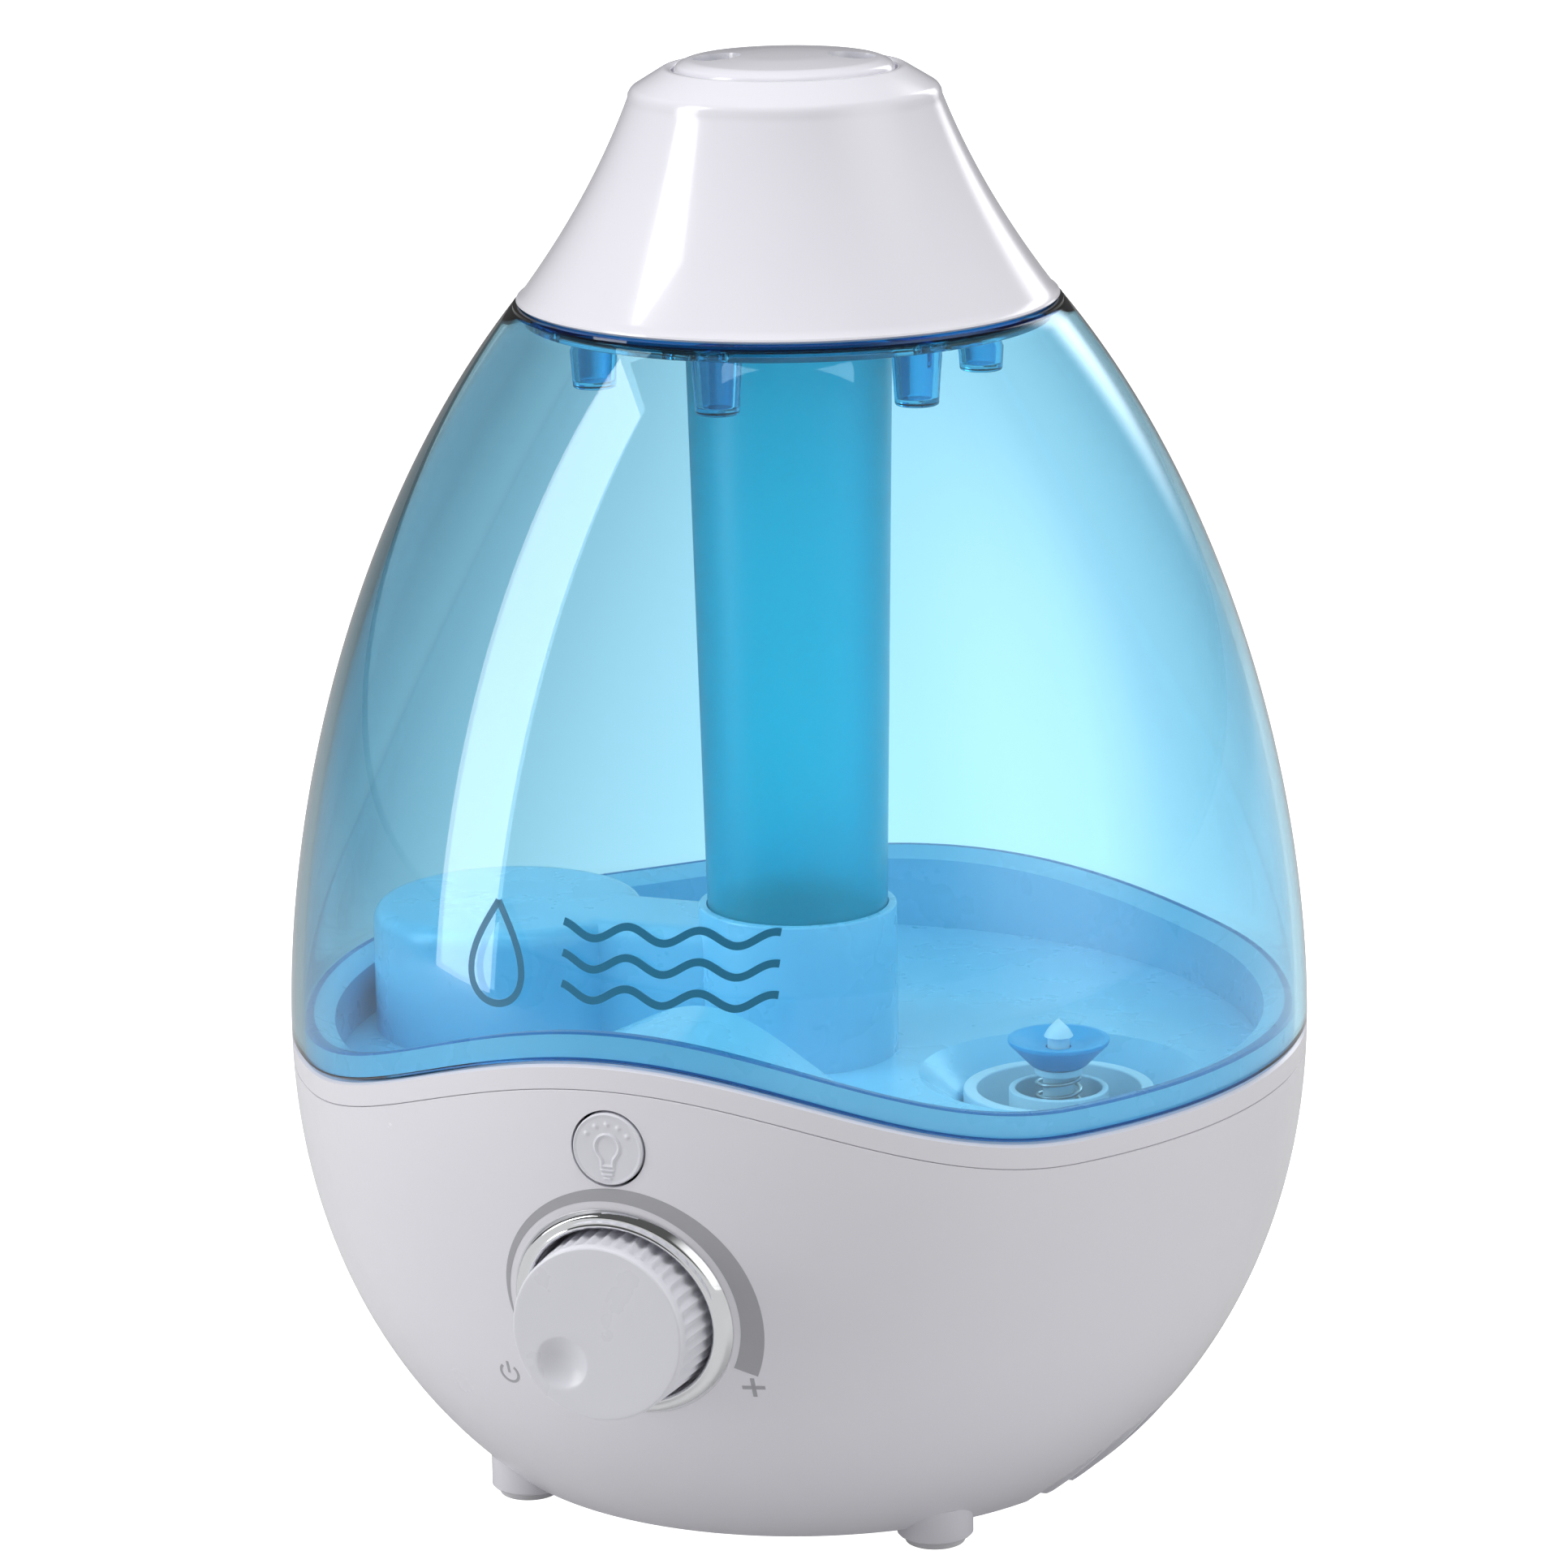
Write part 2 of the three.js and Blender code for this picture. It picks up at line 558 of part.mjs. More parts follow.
function knob() {
  const face = KNOB_FACE_Y;
  const shell = levelTurned(
    [
      [0, face], [KNOB_FACE_R - 0.8, face], [KNOB_FACE_R, face + 0.8], [KNOB_BASE_R, KNOB_REAR_Y],
      [KNOB_BASE_R - KNOB_WALL, KNOB_REAR_Y], [KNOB_FACE_R - KNOB_WALL, face + 3.6], [SHAFT_R + 2, face + 3.6],
      [SHAFT_R + 2, KNOB_REAR_Y], [SHAFT_R + GAP, KNOB_REAR_Y], [SHAFT_R + GAP, face + 5], [0, face + 5],
    ],
    KNOB_Z,
    FINE + 4,
  );
  const a = (222 * Math.PI) / 180;
  const ballR = (DIMPLE_R ** 2 + DIMPLE_DEPTH ** 2) / (2 * DIMPLE_DEPTH);
  const ball = new THREE.SphereGeometry(ballR, COARSE, COARSE);
  const [x, z] = [DIMPLE_CENTRE_R * Math.cos(a), KNOB_Z + DIMPLE_CENTRE_R * Math.sin(a)];
  ball.translate(x, face + DIMPLE_DEPTH - ballR, z);
  return shell.subtract(solid(ball));
}
piece("mist_knob", knob(), WHITE);

const SHAFT_FRONT_Y = KNOB_FACE_Y + 5 + GAP;
const SHAFT_IN = 4; // how far the shaft goes into the control
piece("pot_shaft", levelDisc(SHAFT_R, SHAFT_FRONT_Y, POT_FACE_Y + SHAFT_IN, KNOB_Z, 0, COARSE), STEEL);

function potBody() {
  const body = block(-8.5, 8.5, POT_FACE_Y, POT_FACE_Y + 8, KNOB_Z - 10, KNOB_Z + 8.5);
  const bush = levelDisc(BUSH_R, POT_FACE_Y - 2.2, POT_FACE_Y + 1, KNOB_Z, 0, COARSE);
  const bore = levelDisc(SHAFT_R + GAP, POT_FACE_Y - 10, POT_FACE_Y + SHAFT_IN + GAP, KNOB_Z, 0, COARSE);
  return body.add(bush).subtract(bore);
}
piece("pot_body", potBody(), GREY);

const PANEL_BOARD_Y = POT_FACE_Y + 8 + GAP;
const PANEL_BOARD = block(-16, 16, PANEL_BOARD_Y, PANEL_BOARD_Y + BOARD_T, KNOB_Z - 16, BUTTON_Z + 3.6);
piece("control_board", PANEL_BOARD, BOARD);

const SWITCH_DEPTH = 4.2;
const SWITCH_FACE_Y = PANEL_BOARD_Y - GAP - SWITCH_DEPTH;
const LIGHT_SWITCH = block(-3, 3, SWITCH_FACE_Y, SWITCH_FACE_Y + SWITCH_DEPTH, BUTTON_Z - 3, BUTTON_Z + 3);
piece("light_switch", LIGHT_SWITCH, BLACK);

function lightButton() {
  const face = -bodyR(BUTTON_Z) - 0.6;
  const pegEnd = SWITCH_FACE_Y - BUTTON_TRAVEL - GAP;
  return levelTurned(
    [
      [0, face], [BUTTON_R - 0.7, face + 0.1], [BUTTON_R, face + 0.8], [BUTTON_R, face + 6.4],
      [BUTTON_R - 1.4, face + 6.4], [BUTTON_R - 1.4, face + 2.4], [2, face + 2.4], [2, pegEnd], [0, pegEnd],
    ],
    BUTTON_Z,
    24,
  );
}
piece("light_button", lightButton(), WHITE);

// ---- mist maker under the pool --------------------------------------------------------------------
const POOL_UNDER_Z = POOL_FLOOR_Z - DECK_WALL;
const SEAL_TOP_Z = POOL_UNDER_Z - GAP;
piece("transducer_seal", tube(12.5, 8.6, SEAL_TOP_Z - 2, SEAL_TOP_Z, POOL_X, 0, COARSE), BLACK);
const CRYSTAL_TOP_Z = SEAL_TOP_Z - 2 - GAP;
piece("transducer_disc", disc(10, CRYSTAL_TOP_Z - 1.3, CRYSTAL_TOP_Z, POOL_X, 0, COARSE), BRASS);
const HOLDER_TOP_Z = CRYSTAL_TOP_Z - 1.3 - GAP;
const HOLDER = turned(
  [
    [6, HOLDER_TOP_Z - 5], [16, HOLDER_TOP_Z - 5], [16, HOLDER_TOP_Z + 3], [13.4, HOLDER_TOP_Z + 3],
    [13.4, HOLDER_TOP_Z], [6, HOLDER_TOP_Z],
  ],
  POOL_X, 0, COARSE,
);
piece("transducer_holder", HOLDER, STEEL);

const DRIVER_Z = 17;
piece("driver_board", block(-62, -20, -28, 22, DRIVER_Z, DRIVER_Z + BOARD_T), BOARD);

function heatSink() {
  const z = DRIVER_Z + BOARD_T + GAP;
  let sink = block(-36, -22, -27, -3, z, z + 3);
  for (let i = 0; i < 4; i++) {
    const x = -36 + 4 * i;
    sink = sink.add(block(x, x + 1.8, -27, -3, z + 2, z + 16));
  }
  return sink;
}
piece("heat_sink", heatSink(), STEEL);

// ---- power supply -----------------------------------------------------------------------------------
const POWER_Z = 13;
piece("power_board", block(-14, 46, 0, 42, POWER_Z, POWER_Z + BOARD_T), BOARD);

function transformer() {
  const z = POWER_Z + BOARD_T + GAP;
  const core = block(2, 34, 9, 35, z, z + 24);
  const windows = block(8, 28, 0, 50, z + 6, z + 18);
  const bobbin = block(9, 27, 5, 39, z + 4, z + 20);
  return core.subtract(windows).add(bobbin);
}
piece("transformer", transformer(), BLACK);

function cordGland() {
  const seatY = GLAND_FACE_Y + GAP;
  const innerEnd = GLAND_FACE_Y - GLAND_BOSS_DEPTH - 4;
  const bore = GLAND_R - 1.8;
  const outline = [
    [bore, innerEnd], [GLAND_R - 0.6, innerEnd], [GLAND_R - 0.2, innerEnd + 2], [GLAND_R - 0.2, seatY],
    [GLAND_R + 2.6, seatY], [GLAND_R + 2, seatY + 2], [bore, seatY + 2],
  ];
  return levelTurned(outline, GLAND_Z, COARSE);
}
piece("cord_gland", cordGland(), BLACK);

// ---- fan and air duct -------------------------------------------------------------------------------
const [FAN_X, FAN_Y] = FAN_CENTRE;
const DUCT_TOP_Z = DECK_FOOT_Z - GAP;
const DUCT_FOOT_Z = DUCT_TOP_Z - 18;
const FAN_TOP_Z = DUCT_FOOT_Z - GAP;
const FAN_FOOT_Z = FAN_TOP_Z - FAN_H;

function fanHousing() {
  const h = FAN_SIZE / 2;
  let frame = block(FAN_X - h, FAN_X + h, FAN_Y - h, FAN_Y + h, FAN_FOOT_Z, FAN_TOP_Z);
  frame = frame.subtract(disc(FAN_BORE_R, FAN_FOOT_Z - 1, FAN_TOP_Z + 1, FAN_X, FAN_Y, COARSE));
  for (const a of [45, 135]) {
    const arm = block(-FAN_BORE_R - 1, FAN_BORE_R + 1, -1.2, 1.2, FAN_FOOT_Z, FAN_FOOT_Z + 1.6);
    frame = frame.add(spun(arm, a).translate([FAN_X, FAN_Y, 0]));
  }
  return frame.add(disc(7, FAN_FOOT_Z, FAN_FOOT_Z + 2, FAN_X, FAN_Y, 16));
}
piece("fan_housing", fanHousing(), BLACK);

function fanRotor() {
  const z0 = FAN_FOOT_Z + 2 + 0.5;
  const z1 = FAN_TOP_Z - 0.6;
  let rotor = disc(8, z0, z1, 0, 0, 16);
  for (let i = 0; i < 7; i++) {
    const blade = new THREE.BoxGeometry(10, 1.2, z1 - z0 + 3);
    blade.rotateX(0.7);
    blade.translate(12, 0, (z0 + z1) / 2);
    rotor = rotor.add(spun(solid(blade), (360 * i) / 7));
  }
  return rotor.intersect(disc(FAN_BORE_R - 0.8, z0, z1, 0, 0, 28));
}
piece("fan_rotor", fanRotor(), BLACK, { x: FAN_X, y: FAN_Y });

// The duct carries the fan's air round the pool to the port in the mist chamber.
function airDuct() {
  const outer = ductBody(0, DUCT_FOOT_Z, DUCT_TOP_Z);
  const inner = ductBody(DUCT_WALL, DUCT_FOOT_Z + DUCT_WALL, DUCT_TOP_Z - DUCT_WALL);
  const intake = disc(FAN_BORE_R - 0.4, DUCT_FOOT_Z - 1, DUCT_FOOT_Z + 3, FAN_X, FAN_Y, COARSE);
  return outer.subtract(inner).subtract(intake).subtract(portBlock(0, DUCT_TOP_Z - 3, DUCT_TOP_Z + 1));
}

function ductBody(inset, z0, z1) {
  const h = FAN_SIZE / 2 - inset;
  const plenum = block(FAN_X - h, FAN_X + h, FAN_Y - h, FAN_Y + h, z0, z1);
  const rOut = -PORT_X + 7 - inset;
  const rIn = -PORT_X - 5 + inset;
  const shape = new THREE.Shape();
  const start = Math.PI + DUCT_START;
  const end = Math.PI + DUCT_END - inset / rOut;
  shape.absarc(0, 0, rOut, start, end, false);
  shape.absarc(0, 0, rIn, end, start, true);
  const geometry = new THREE.ExtrudeGeometry(shape, { depth: z1 - z0, bevelEnabled: false, curveSegments: 6 });
  geometry.translate(0, 0, z0);
  return plenum.add(solid(geometry));
}
piece("air_duct", airDuct(), GREY);

// ---- float and its switch -----------------------------------------------------------------------------
const FLOAT_FOOT_Z = FLOAT_FLOOR_Z + 0.6;
const FLOAT_BORE_R = PIN_R + 0.8;
const MAGNET_IN_R = 5.2; // groove in the float for its ring magnet
const MAGNET_OUT_R = 8.8;
const MAGNET_ROOF_Z = FLOAT_FOOT_Z + 3.6;
const FLOAT = turned(
  [
    [FLOAT_BORE_R, FLOAT_FOOT_Z], [MAGNET_IN_R, FLOAT_FOOT_Z], [MAGNET_IN_R, MAGNET_ROOF_Z],
    [MAGNET_OUT_R, MAGNET_ROOF_Z], [MAGNET_OUT_R, FLOAT_FOOT_Z], [FLOAT_R, FLOAT_FOOT_Z],
    [FLOAT_R, FLOAT_FOOT_Z + FLOAT_H - 1], [FLOAT_R - 1, FLOAT_FOOT_Z + FLOAT_H],
    [FLOAT_BORE_R, FLOAT_FOOT_Z + FLOAT_H],
  ],
  0, 0, COARSE,
);
piece("water_float", FLOAT, DEEP_BLUE, { x: FLOAT_X, y: FLOAT_Y });
const MAGNET_R = MAGNET_OUT_R - GAP;
const MAGNET = tube(MAGNET_R, MAGNET_IN_R + GAP, FLOAT_FOOT_Z + 0.2, MAGNET_ROOF_Z - GAP, 0, 0, COARSE);
piece("float_magnet", MAGNET, BLACK, { x: FLOAT_X, y: FLOAT_Y });

const REED_TOP_Z = FLOAT_FLOOR_Z - DECK_WALL - GAP;
const REED = block(FLOAT_X - 8, FLOAT_X + 8, FLOAT_Y - 4, FLOAT_Y + 4, REED_TOP_Z - 5, REED_TOP_Z);
piece("reed_switch", REED, BLACK);

// ---- night light ----------------------------------------------------------------------------------------
const LED_BOARD_TOP_Z = DECK_FOOT_Z - 3.2;
const LED_BOARD = block(-12, 12, LENS_Y - 6, LENS_Y + 6, LED_BOARD_TOP_Z - BOARD_T, LED_BOARD_TOP_Z);
piece("led_board", LED_BOARD, BOARD);
for (const [name, x] of [["led_left", -3.4], ["led_right", 3.4]]) {
  const z = LED_BOARD_TOP_Z + GAP;
  piece(name, turned([[0, z], [1.8, z], [1.8, z + 1], [1.2, z + 2.2], [0, z + 2.6]], x, LENS_Y, 12), BLUE);
}

// ---- tank floor -------------------------------------------------------------------------------------------
const DISH_IN_R = DISH_R - TANK_WALL;
const FLOOR_UNDER_Z = FLOOR_TOP_Z - FLOOR_WALL;

function tankFloor() {
  const flange = wavyRing((a) => {
    const z = seamZ(a) + GAP;
    const top = seamZ(a) + FLANGE_BAND;
    const inset = TANK_WALL + GAP;
    return [
      [DISH_IN_R, FLOOR_UNDER_Z], [DISH_R, FLOOR_UNDER_Z], [DISH_R, z], [bodyR(z) - inset, z],
      [bodyR(top) - inset, top], [bodyR(top) - inset - 2, top], [DISH_IN_R, z + 3],
    ];
  });
  const floor = disc(DISH_IN_R + 0.5, FLOOR_UNDER_Z, FLOOR_TOP_Z, 0, 0, ROUND);
  const roof = roofOver(FLOOR_TOP_Z);
  const hump = frontBlock(HUMP_Y, DISH_IN_R + 0.5, CONSOLE_HALF_ANGLE + 4, FLOOR_UNDER_Z, roof);
  const under = roofOver(FLOOR_UNDER_Z);
  const clear = frontBlock(
    CONSOLE_Y - CONSOLE_CLEAR, BODY_R, CONSOLE_HALF_ANGLE + 1.6, FLOOR_UNDER_Z - 5,
    (a) => Math.min(under(a), seamZ(a) - 1),
  );
  const collarR = CHIMNEY_FOOT_R + GAP;
  const collar = disc(collarR + COLLAR_WALL, FLOOR_UNDER_Z, COLLAR_TOP_Z);
  const hood = union(
    disc(HOOD_R, FLOOR_UNDER_Z, HOOD_TOP_Z, HOOD_X, 0),
    block(HOOD_X, 0, -HOOD_NECK_W / 2, HOOD_NECK_W / 2, FLOOR_UNDER_Z, HOOD_TOP_Z),
  );
  const z0 = FLOOR_UNDER_Z - 5;
  const neckTop = CHIMNEY_FOOT_Z - GAP - 1.2;
  const hollow = union(
    disc(HOOD_R - FLOOR_WALL, z0, HOOD_TOP_Z - FLOOR_WALL, HOOD_X, 0),
    block(HOOD_X, -12, FLOOR_WALL - HOOD_NECK_W / 2, HOOD_NECK_W / 2 - FLOOR_WALL, z0, neckTop),
    disc(collarR - CHIMNEY_WALL, z0, COLLAR_TOP_Z + 5),
    disc(collarR, CHIMNEY_FOOT_Z - GAP, COLLAR_TOP_Z + 5),
  );
  const neckOut = NECK_R + NECK_WALL;
  const neck = turned(
    [
      [0, NECK_FOOT_Z], [neckOut, NECK_FOOT_Z], [neckOut, FLOOR_UNDER_Z - 5.5],
      [WELL_MOUTH_R - 0.3, FLOOR_UNDER_Z - 1.3], [WELL_MOUTH_R + 2, FLOOR_UNDER_Z],
      [WELL_MOUTH_R + 2, FLOOR_TOP_Z], [0, FLOOR_TOP_Z],
    ],
    WELL_X, 0,
  );
  const bore = turned(
    [
      [0, NECK_FOOT_Z - 5], [NECK_R, NECK_FOOT_Z - 5], [NECK_R, FLOOR_UNDER_Z - 4.5],
      [WELL_MOUTH_R - 2, FLOOR_TOP_Z - 1.5], [WELL_MOUTH_R, FLOOR_TOP_Z + 5], [0, FLOOR_TOP_Z + 5],
    ],
    WELL_X, 0,
  );
  return union(flange, floor, hump, collar, hood, neck).subtract(clear).subtract(hollow).subtract(bore);
}
piece("tank_floor", tankFloor(), MILKY);

// ---- tank --------------------------------------------------------------------------------------------------
function tankShell() {
  return wavyRing((a) => {
    const foot = seamZ(a) + GAP;
    const outer = side(foot, TANK_TOP_Z - 1, 0, 7);
    const inner = side(foot, TANK_TOP_Z - 1, TANK_WALL, 7).reverse();
    const lip = bodyR(TANK_TOP_Z - 1) - 0.6;
    return [...outer, [lip, TANK_TOP_Z], [lip - 1.4, TANK_TOP_Z], ...inner];
  });
}
piece("tank_shell", tankShell(), BLUE);

const PLATE_TOP_Z = TANK_TOP_Z - 2.1;
const PLATE_FOOT_Z = PLATE_TOP_Z - 2;
const SOCKET_CIRCLE_R = 40;
const SOCKET_DEPTH = 15;

function topPlate() {
  const edge = bodyR(PLATE_TOP_Z) - TANK_WALL - GAP - 0.2;
  let plate = tube(edge, CHIMNEY_TOP_R + 0.4, PLATE_FOOT_Z, PLATE_TOP_Z, 0, 0, ROUND);
  for (let i = 0; i < 6; i++) {
    const a = (2 * Math.PI * i) / 6 - Math.PI / 2;
    const [x, y] = [SOCKET_CIRCLE_R * Math.cos(a), SOCKET_CIRCLE_R * Math.sin(a)];
    const foot = PLATE_TOP_Z - SOCKET_DEPTH;
    const floor = foot + 1.4;
    const over = PLATE_TOP_Z + 1;
    plate = plate.add(turned([[0, foot], [4.4, foot], [5.3, PLATE_TOP_Z], [0, PLATE_TOP_Z]], x, y, SMALL));
    plate = plate.subtract(turned([[0, floor], [3, floor], [3.8, over], [0, over]], x, y, SMALL));
  }
  return plate;
}
piece("tank_top_plate", topPlate(), BLUE);

function chimney() {
  const [r0, r1, w] = [CHIMNEY_FOOT_R, CHIMNEY_TOP_R, CHIMNEY_WALL];
  const [z0, z1] = [CHIMNEY_FOOT_Z, CHIMNEY_TOP_Z];
  return turned([[r0 - w, z0], [r0, z0], [r0, COLLAR_TOP_Z], [r1, z1], [r1 - w, z1]]);
}
piece("mist_chimney", chimney(), BLUE);

// ---- filling cap and water valve ------------------------------------------------------------------------------
const FILL_CAP_R = NECK_R - 0.5;
const SPIDER_TOP_Z = FILL_CAP_FOOT_Z + 4;
const GASKET_T = 2.4; // room between the cap's flange and the neck
const TUBE_IN_R = VALVE_TUBE_R - VALVE_TUBE_WALL;

function fillCap() {
  const [r, w, z] = [FILL_CAP_R, FILL_CAP_WALL, FILL_CAP_FOOT_Z];
  const flangeTop = NECK_FOOT_Z - GASKET_T;
  let cap = turned(
    [
      [0, z + 1.5], [r - w, z + 1.5], [r - w, z], [FILL_CAP_GRIP_R, z], [FILL_CAP_GRIP_R, flangeTop],
      [r, flangeTop], [r, FILL_CAP_TOP_Z], [r - w, FILL_CAP_TOP_Z], [r - w, SPIDER_TOP_Z],
      [VALVE_TUBE_R, SPIDER_TOP_Z], [VALVE_TUBE_R, FILL_CAP_TOP_Z - 0.1], [TUBE_IN_R, FILL_CAP_TOP_Z - 0.1],
      [TUBE_IN_R, SPIDER_TOP_Z], [0, SPIDER_TOP_Z],
    ],
    0, 0, FINE,
  );
  for (let i = 0; i < 8; i++) {
    const notch = disc(2.2, z - 1, FILL_CAP_TOP_Z, FILL_CAP_GRIP_R + 0.6, 0, 8);
    cap = cap.subtract(spun(notch, 45 * i));
  }
  const drain = disc(1.9, z - 1, SPIDER_TOP_Z + 1, 6.4, 0, 12);
  for (const turn of [60, 180, 300]) cap = cap.subtract(spun(drain, turn));
  return cap.subtract(disc(STEM_R + GAP, z - 1, SPIDER_TOP_Z + 1, 0, 0, COARSE));
}
piece("fill_cap", fillCap(), WHITE, { x: WELL_X });

const GASKET = tube(NECK_R + NECK_WALL + 1.6, FILL_CAP_R + GAP, NECK_FOOT_Z - GASKET_T + GAP, NECK_FOOT_Z - GAP);
piece("fill_cap_gasket", GASKET, RUBBER, { x: WELL_X });

const SHOULDER_T = 1.5; // collar on the stem that the spring pushes

function valveStem() {
  const shoulder = CONE_FOOT_Z - GAP;
  const under = shoulder - SHOULDER_T;
  const coneTop = CONE_FOOT_Z + CONE_H;
  return turned([
    [0, STEM_FOOT_Z], [STEM_R, STEM_FOOT_Z], [STEM_R, under], [STEM_R + 1.7, under], [STEM_R + 1.7, shoulder],
    [STEM_R - 1, shoulder], [STEM_R - 1, coneTop + 0.4], [STEM_R, coneTop + 0.4], [STEM_R - 0.2, coneTop + 2],
    [0, coneTop + 2.4],
  ], 0, 0, COARSE);
}
piece("valve_stem", valveStem(), WHITE, { x: WELL_X });

const CONE = turned([
  [STEM_R - 1 + GAP, CONE_FOOT_Z], [CONE_FOOT_R, CONE_FOOT_Z], [CONE_TOP_R, CONE_FOOT_Z + CONE_H - 0.8],
  [CONE_TOP_R, CONE_FOOT_Z + CONE_H], [STEM_R - 1 + GAP, CONE_FOOT_Z + CONE_H],
], 0, 0, COARSE);
piece("valve_seal", CONE, DEEP_BLUE, { x: WELL_X });

// A round wire wound in a helix between the spider and the stem's shoulder.
class Helix extends THREE.Curve {
  constructor(r, z0, z1, turns) {
    super();
    Object.assign(this, { r, z0, z1, turns });
  }
  getPoint(t, target = new THREE.Vector3()) {
    const a = 2 * Math.PI * this.turns * t;
    return target.set(this.r * Math.cos(a), this.r * Math.sin(a), this.z0 + (this.z1 - this.z0) * t);
  }
}

function valveSpring() {
  const wire = 0.4;
  const end = GAP + wire + 0.1;
  const path = new Helix(STEM_R + 1.2, SPIDER_TOP_Z + end, CONE_FOOT_Z - GAP - SHOULDER_T - end, 4);
  const section = new THREE.Shape();
  section.absarc(0, 0, wire, 0, 2 * Math.PI);
  const along = { steps: 36, curveSegments: 3, bevelEnabled: false, extrudePath: path };
  return solid(new THREE.ExtrudeGeometry(section, along));
}
piece("valve_spring", valveSpring(), STEEL, { x: WELL_X });

// ---- cap and nozzle ---------------------------------------------------------------------------------------------
const SLEEVE_R = CHIMNEY_TOP_R + 1.5; // bore that the nozzle turns in
const SLEEVE_WALL = 2;
const CAP_RIM = [SLEEVE_R + 1.5, NOZZLE_TOP_Z - 2.4]; // radius, height of the cap's top edge
const CAP_SHOULDER = [CAP_RIM[0] + 6.7, CAP_RIM[1] - 4.1]; // crease below the cap's bevel
const LEDGE_UNDER_Z = CAP_SHOULDER[1] - 15.2;
const CAP_FOOT_R = bodyR(TANK_TOP_Z) - 0.4;
const CAP_FOOT_Z = TANK_TOP_Z + GAP;

// The cap's side runs in a shallow hollow curve from its foot to the shoulder.
function capSide(inset, steps) {
  const foot = [CAP_FOOT_R - 1, CAP_FOOT_Z + 1.2];
  const bow = CAP_BOW * (CAP_SHOULDER[1] - foot[1]);
  return Array.from({ length: steps + 1 }, (_, i) => {
    const t = i / steps;
    const hollow = 4 * bow * t * (1 - t);
    return [foot[0] + (CAP_SHOULDER[0] - foot[0]) * t - hollow - inset, foot[1] + (CAP_SHOULDER[1] - foot[1]) * t];
  });
}

function mistCap() {
  const skirtR = bodyR(TANK_TOP_Z) - 5;
  const outer = capSide(0, 4);
  const inner = capSide(CAP_WALL, 4).reverse().slice(1);
  const [rimR, rimZ] = CAP_RIM;
  const sleeveOut = SLEEVE_R + SLEEVE_WALL;
  return turned(
    [
      [skirtR, PLATE_TOP_Z + GAP], [skirtR, CAP_FOOT_Z], [CAP_FOOT_R, CAP_FOOT_Z], ...outer,
      [rimR, rimZ], [SLEEVE_R, rimZ - 0.4],
      [SLEEVE_R, LEDGE_UNDER_Z + 2], [SLEEVE_R - 2.2, LEDGE_UNDER_Z + 2], [SLEEVE_R - 2.2, LEDGE_UNDER_Z],
      [SLEEVE_R - 0.6, LEDGE_UNDER_Z], [SLEEVE_R - 0.6, CHIMNEY_TOP_Z - 2], [sleeveOut - 0.6, CHIMNEY_TOP_Z - 2],
      [sleeveOut, CAP_SHOULDER[1] - 5], ...inner, [skirtR - CAP_WALL, PLATE_TOP_Z + GAP],
    ],
    0, 0, ROUND,
  );
}
piece("mist_cap", mistCap(), WHITE);

function mistNozzle() {
  const top = NOZZLE_TOP_Z;
  const r = SLEEVE_R - 0.4;
  const foot = LEDGE_UNDER_Z + 2 + GAP;
  let nozzle = turned(
    [
      [0, top], [10, top - 0.25], [r - 2.6, top - 1], [r - 0.6, top - 2], [r, top - 3.4], [r, foot], [r - 1.8, foot],
      [r - 1.8, top - 5], [0, top - 3.6],
    ],
    0, 0, FINE + 4,
  );
  for (const turn of [20, 200]) {
    nozzle = nozzle.subtract(spun(disc(4.8, top - 12, top + 5, 13.8, 0, COARSE), turn));
  }
  return nozzle;
}
piece("mist_nozzle", mistNozzle(), WHITE);

// The knob stands out at the front, so the body's axis lies behind the middle of the footprint.
const humidifier = new THREE.Group();
humidifier.add(...nodes);
humidifier.position.y = (-KNOB_FACE_Y - BODY_R) / 2;
export default humidifier;
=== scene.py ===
"""Cool mist humidifier: the finished look of every piece. Shapes are in millimetres and the scene in metres, +Z is up
and the control panel faces -Y. The round body stands on an axis 4 mm behind the middle of the footprint, and an angle
round it is in degrees from the front towards +X."""

import json
import math

import bpy
import numpy as np
from mathutils import Matrix, Vector

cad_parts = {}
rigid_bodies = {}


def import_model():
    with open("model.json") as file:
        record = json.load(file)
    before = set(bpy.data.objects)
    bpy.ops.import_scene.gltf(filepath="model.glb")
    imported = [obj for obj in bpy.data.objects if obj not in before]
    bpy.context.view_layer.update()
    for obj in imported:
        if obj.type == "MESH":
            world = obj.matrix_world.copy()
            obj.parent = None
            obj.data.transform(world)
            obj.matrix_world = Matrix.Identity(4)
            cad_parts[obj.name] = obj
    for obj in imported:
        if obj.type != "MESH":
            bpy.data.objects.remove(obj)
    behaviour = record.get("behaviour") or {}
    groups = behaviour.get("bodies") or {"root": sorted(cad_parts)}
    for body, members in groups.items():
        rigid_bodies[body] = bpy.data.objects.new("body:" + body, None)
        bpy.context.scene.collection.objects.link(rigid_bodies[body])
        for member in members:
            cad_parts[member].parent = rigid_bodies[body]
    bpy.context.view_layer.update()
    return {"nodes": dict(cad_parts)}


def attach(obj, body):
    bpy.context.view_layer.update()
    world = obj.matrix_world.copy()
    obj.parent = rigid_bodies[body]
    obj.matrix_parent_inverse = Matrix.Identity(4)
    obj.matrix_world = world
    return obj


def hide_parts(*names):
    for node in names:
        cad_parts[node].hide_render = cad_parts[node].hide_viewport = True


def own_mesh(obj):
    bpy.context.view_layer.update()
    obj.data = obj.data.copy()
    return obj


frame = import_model()

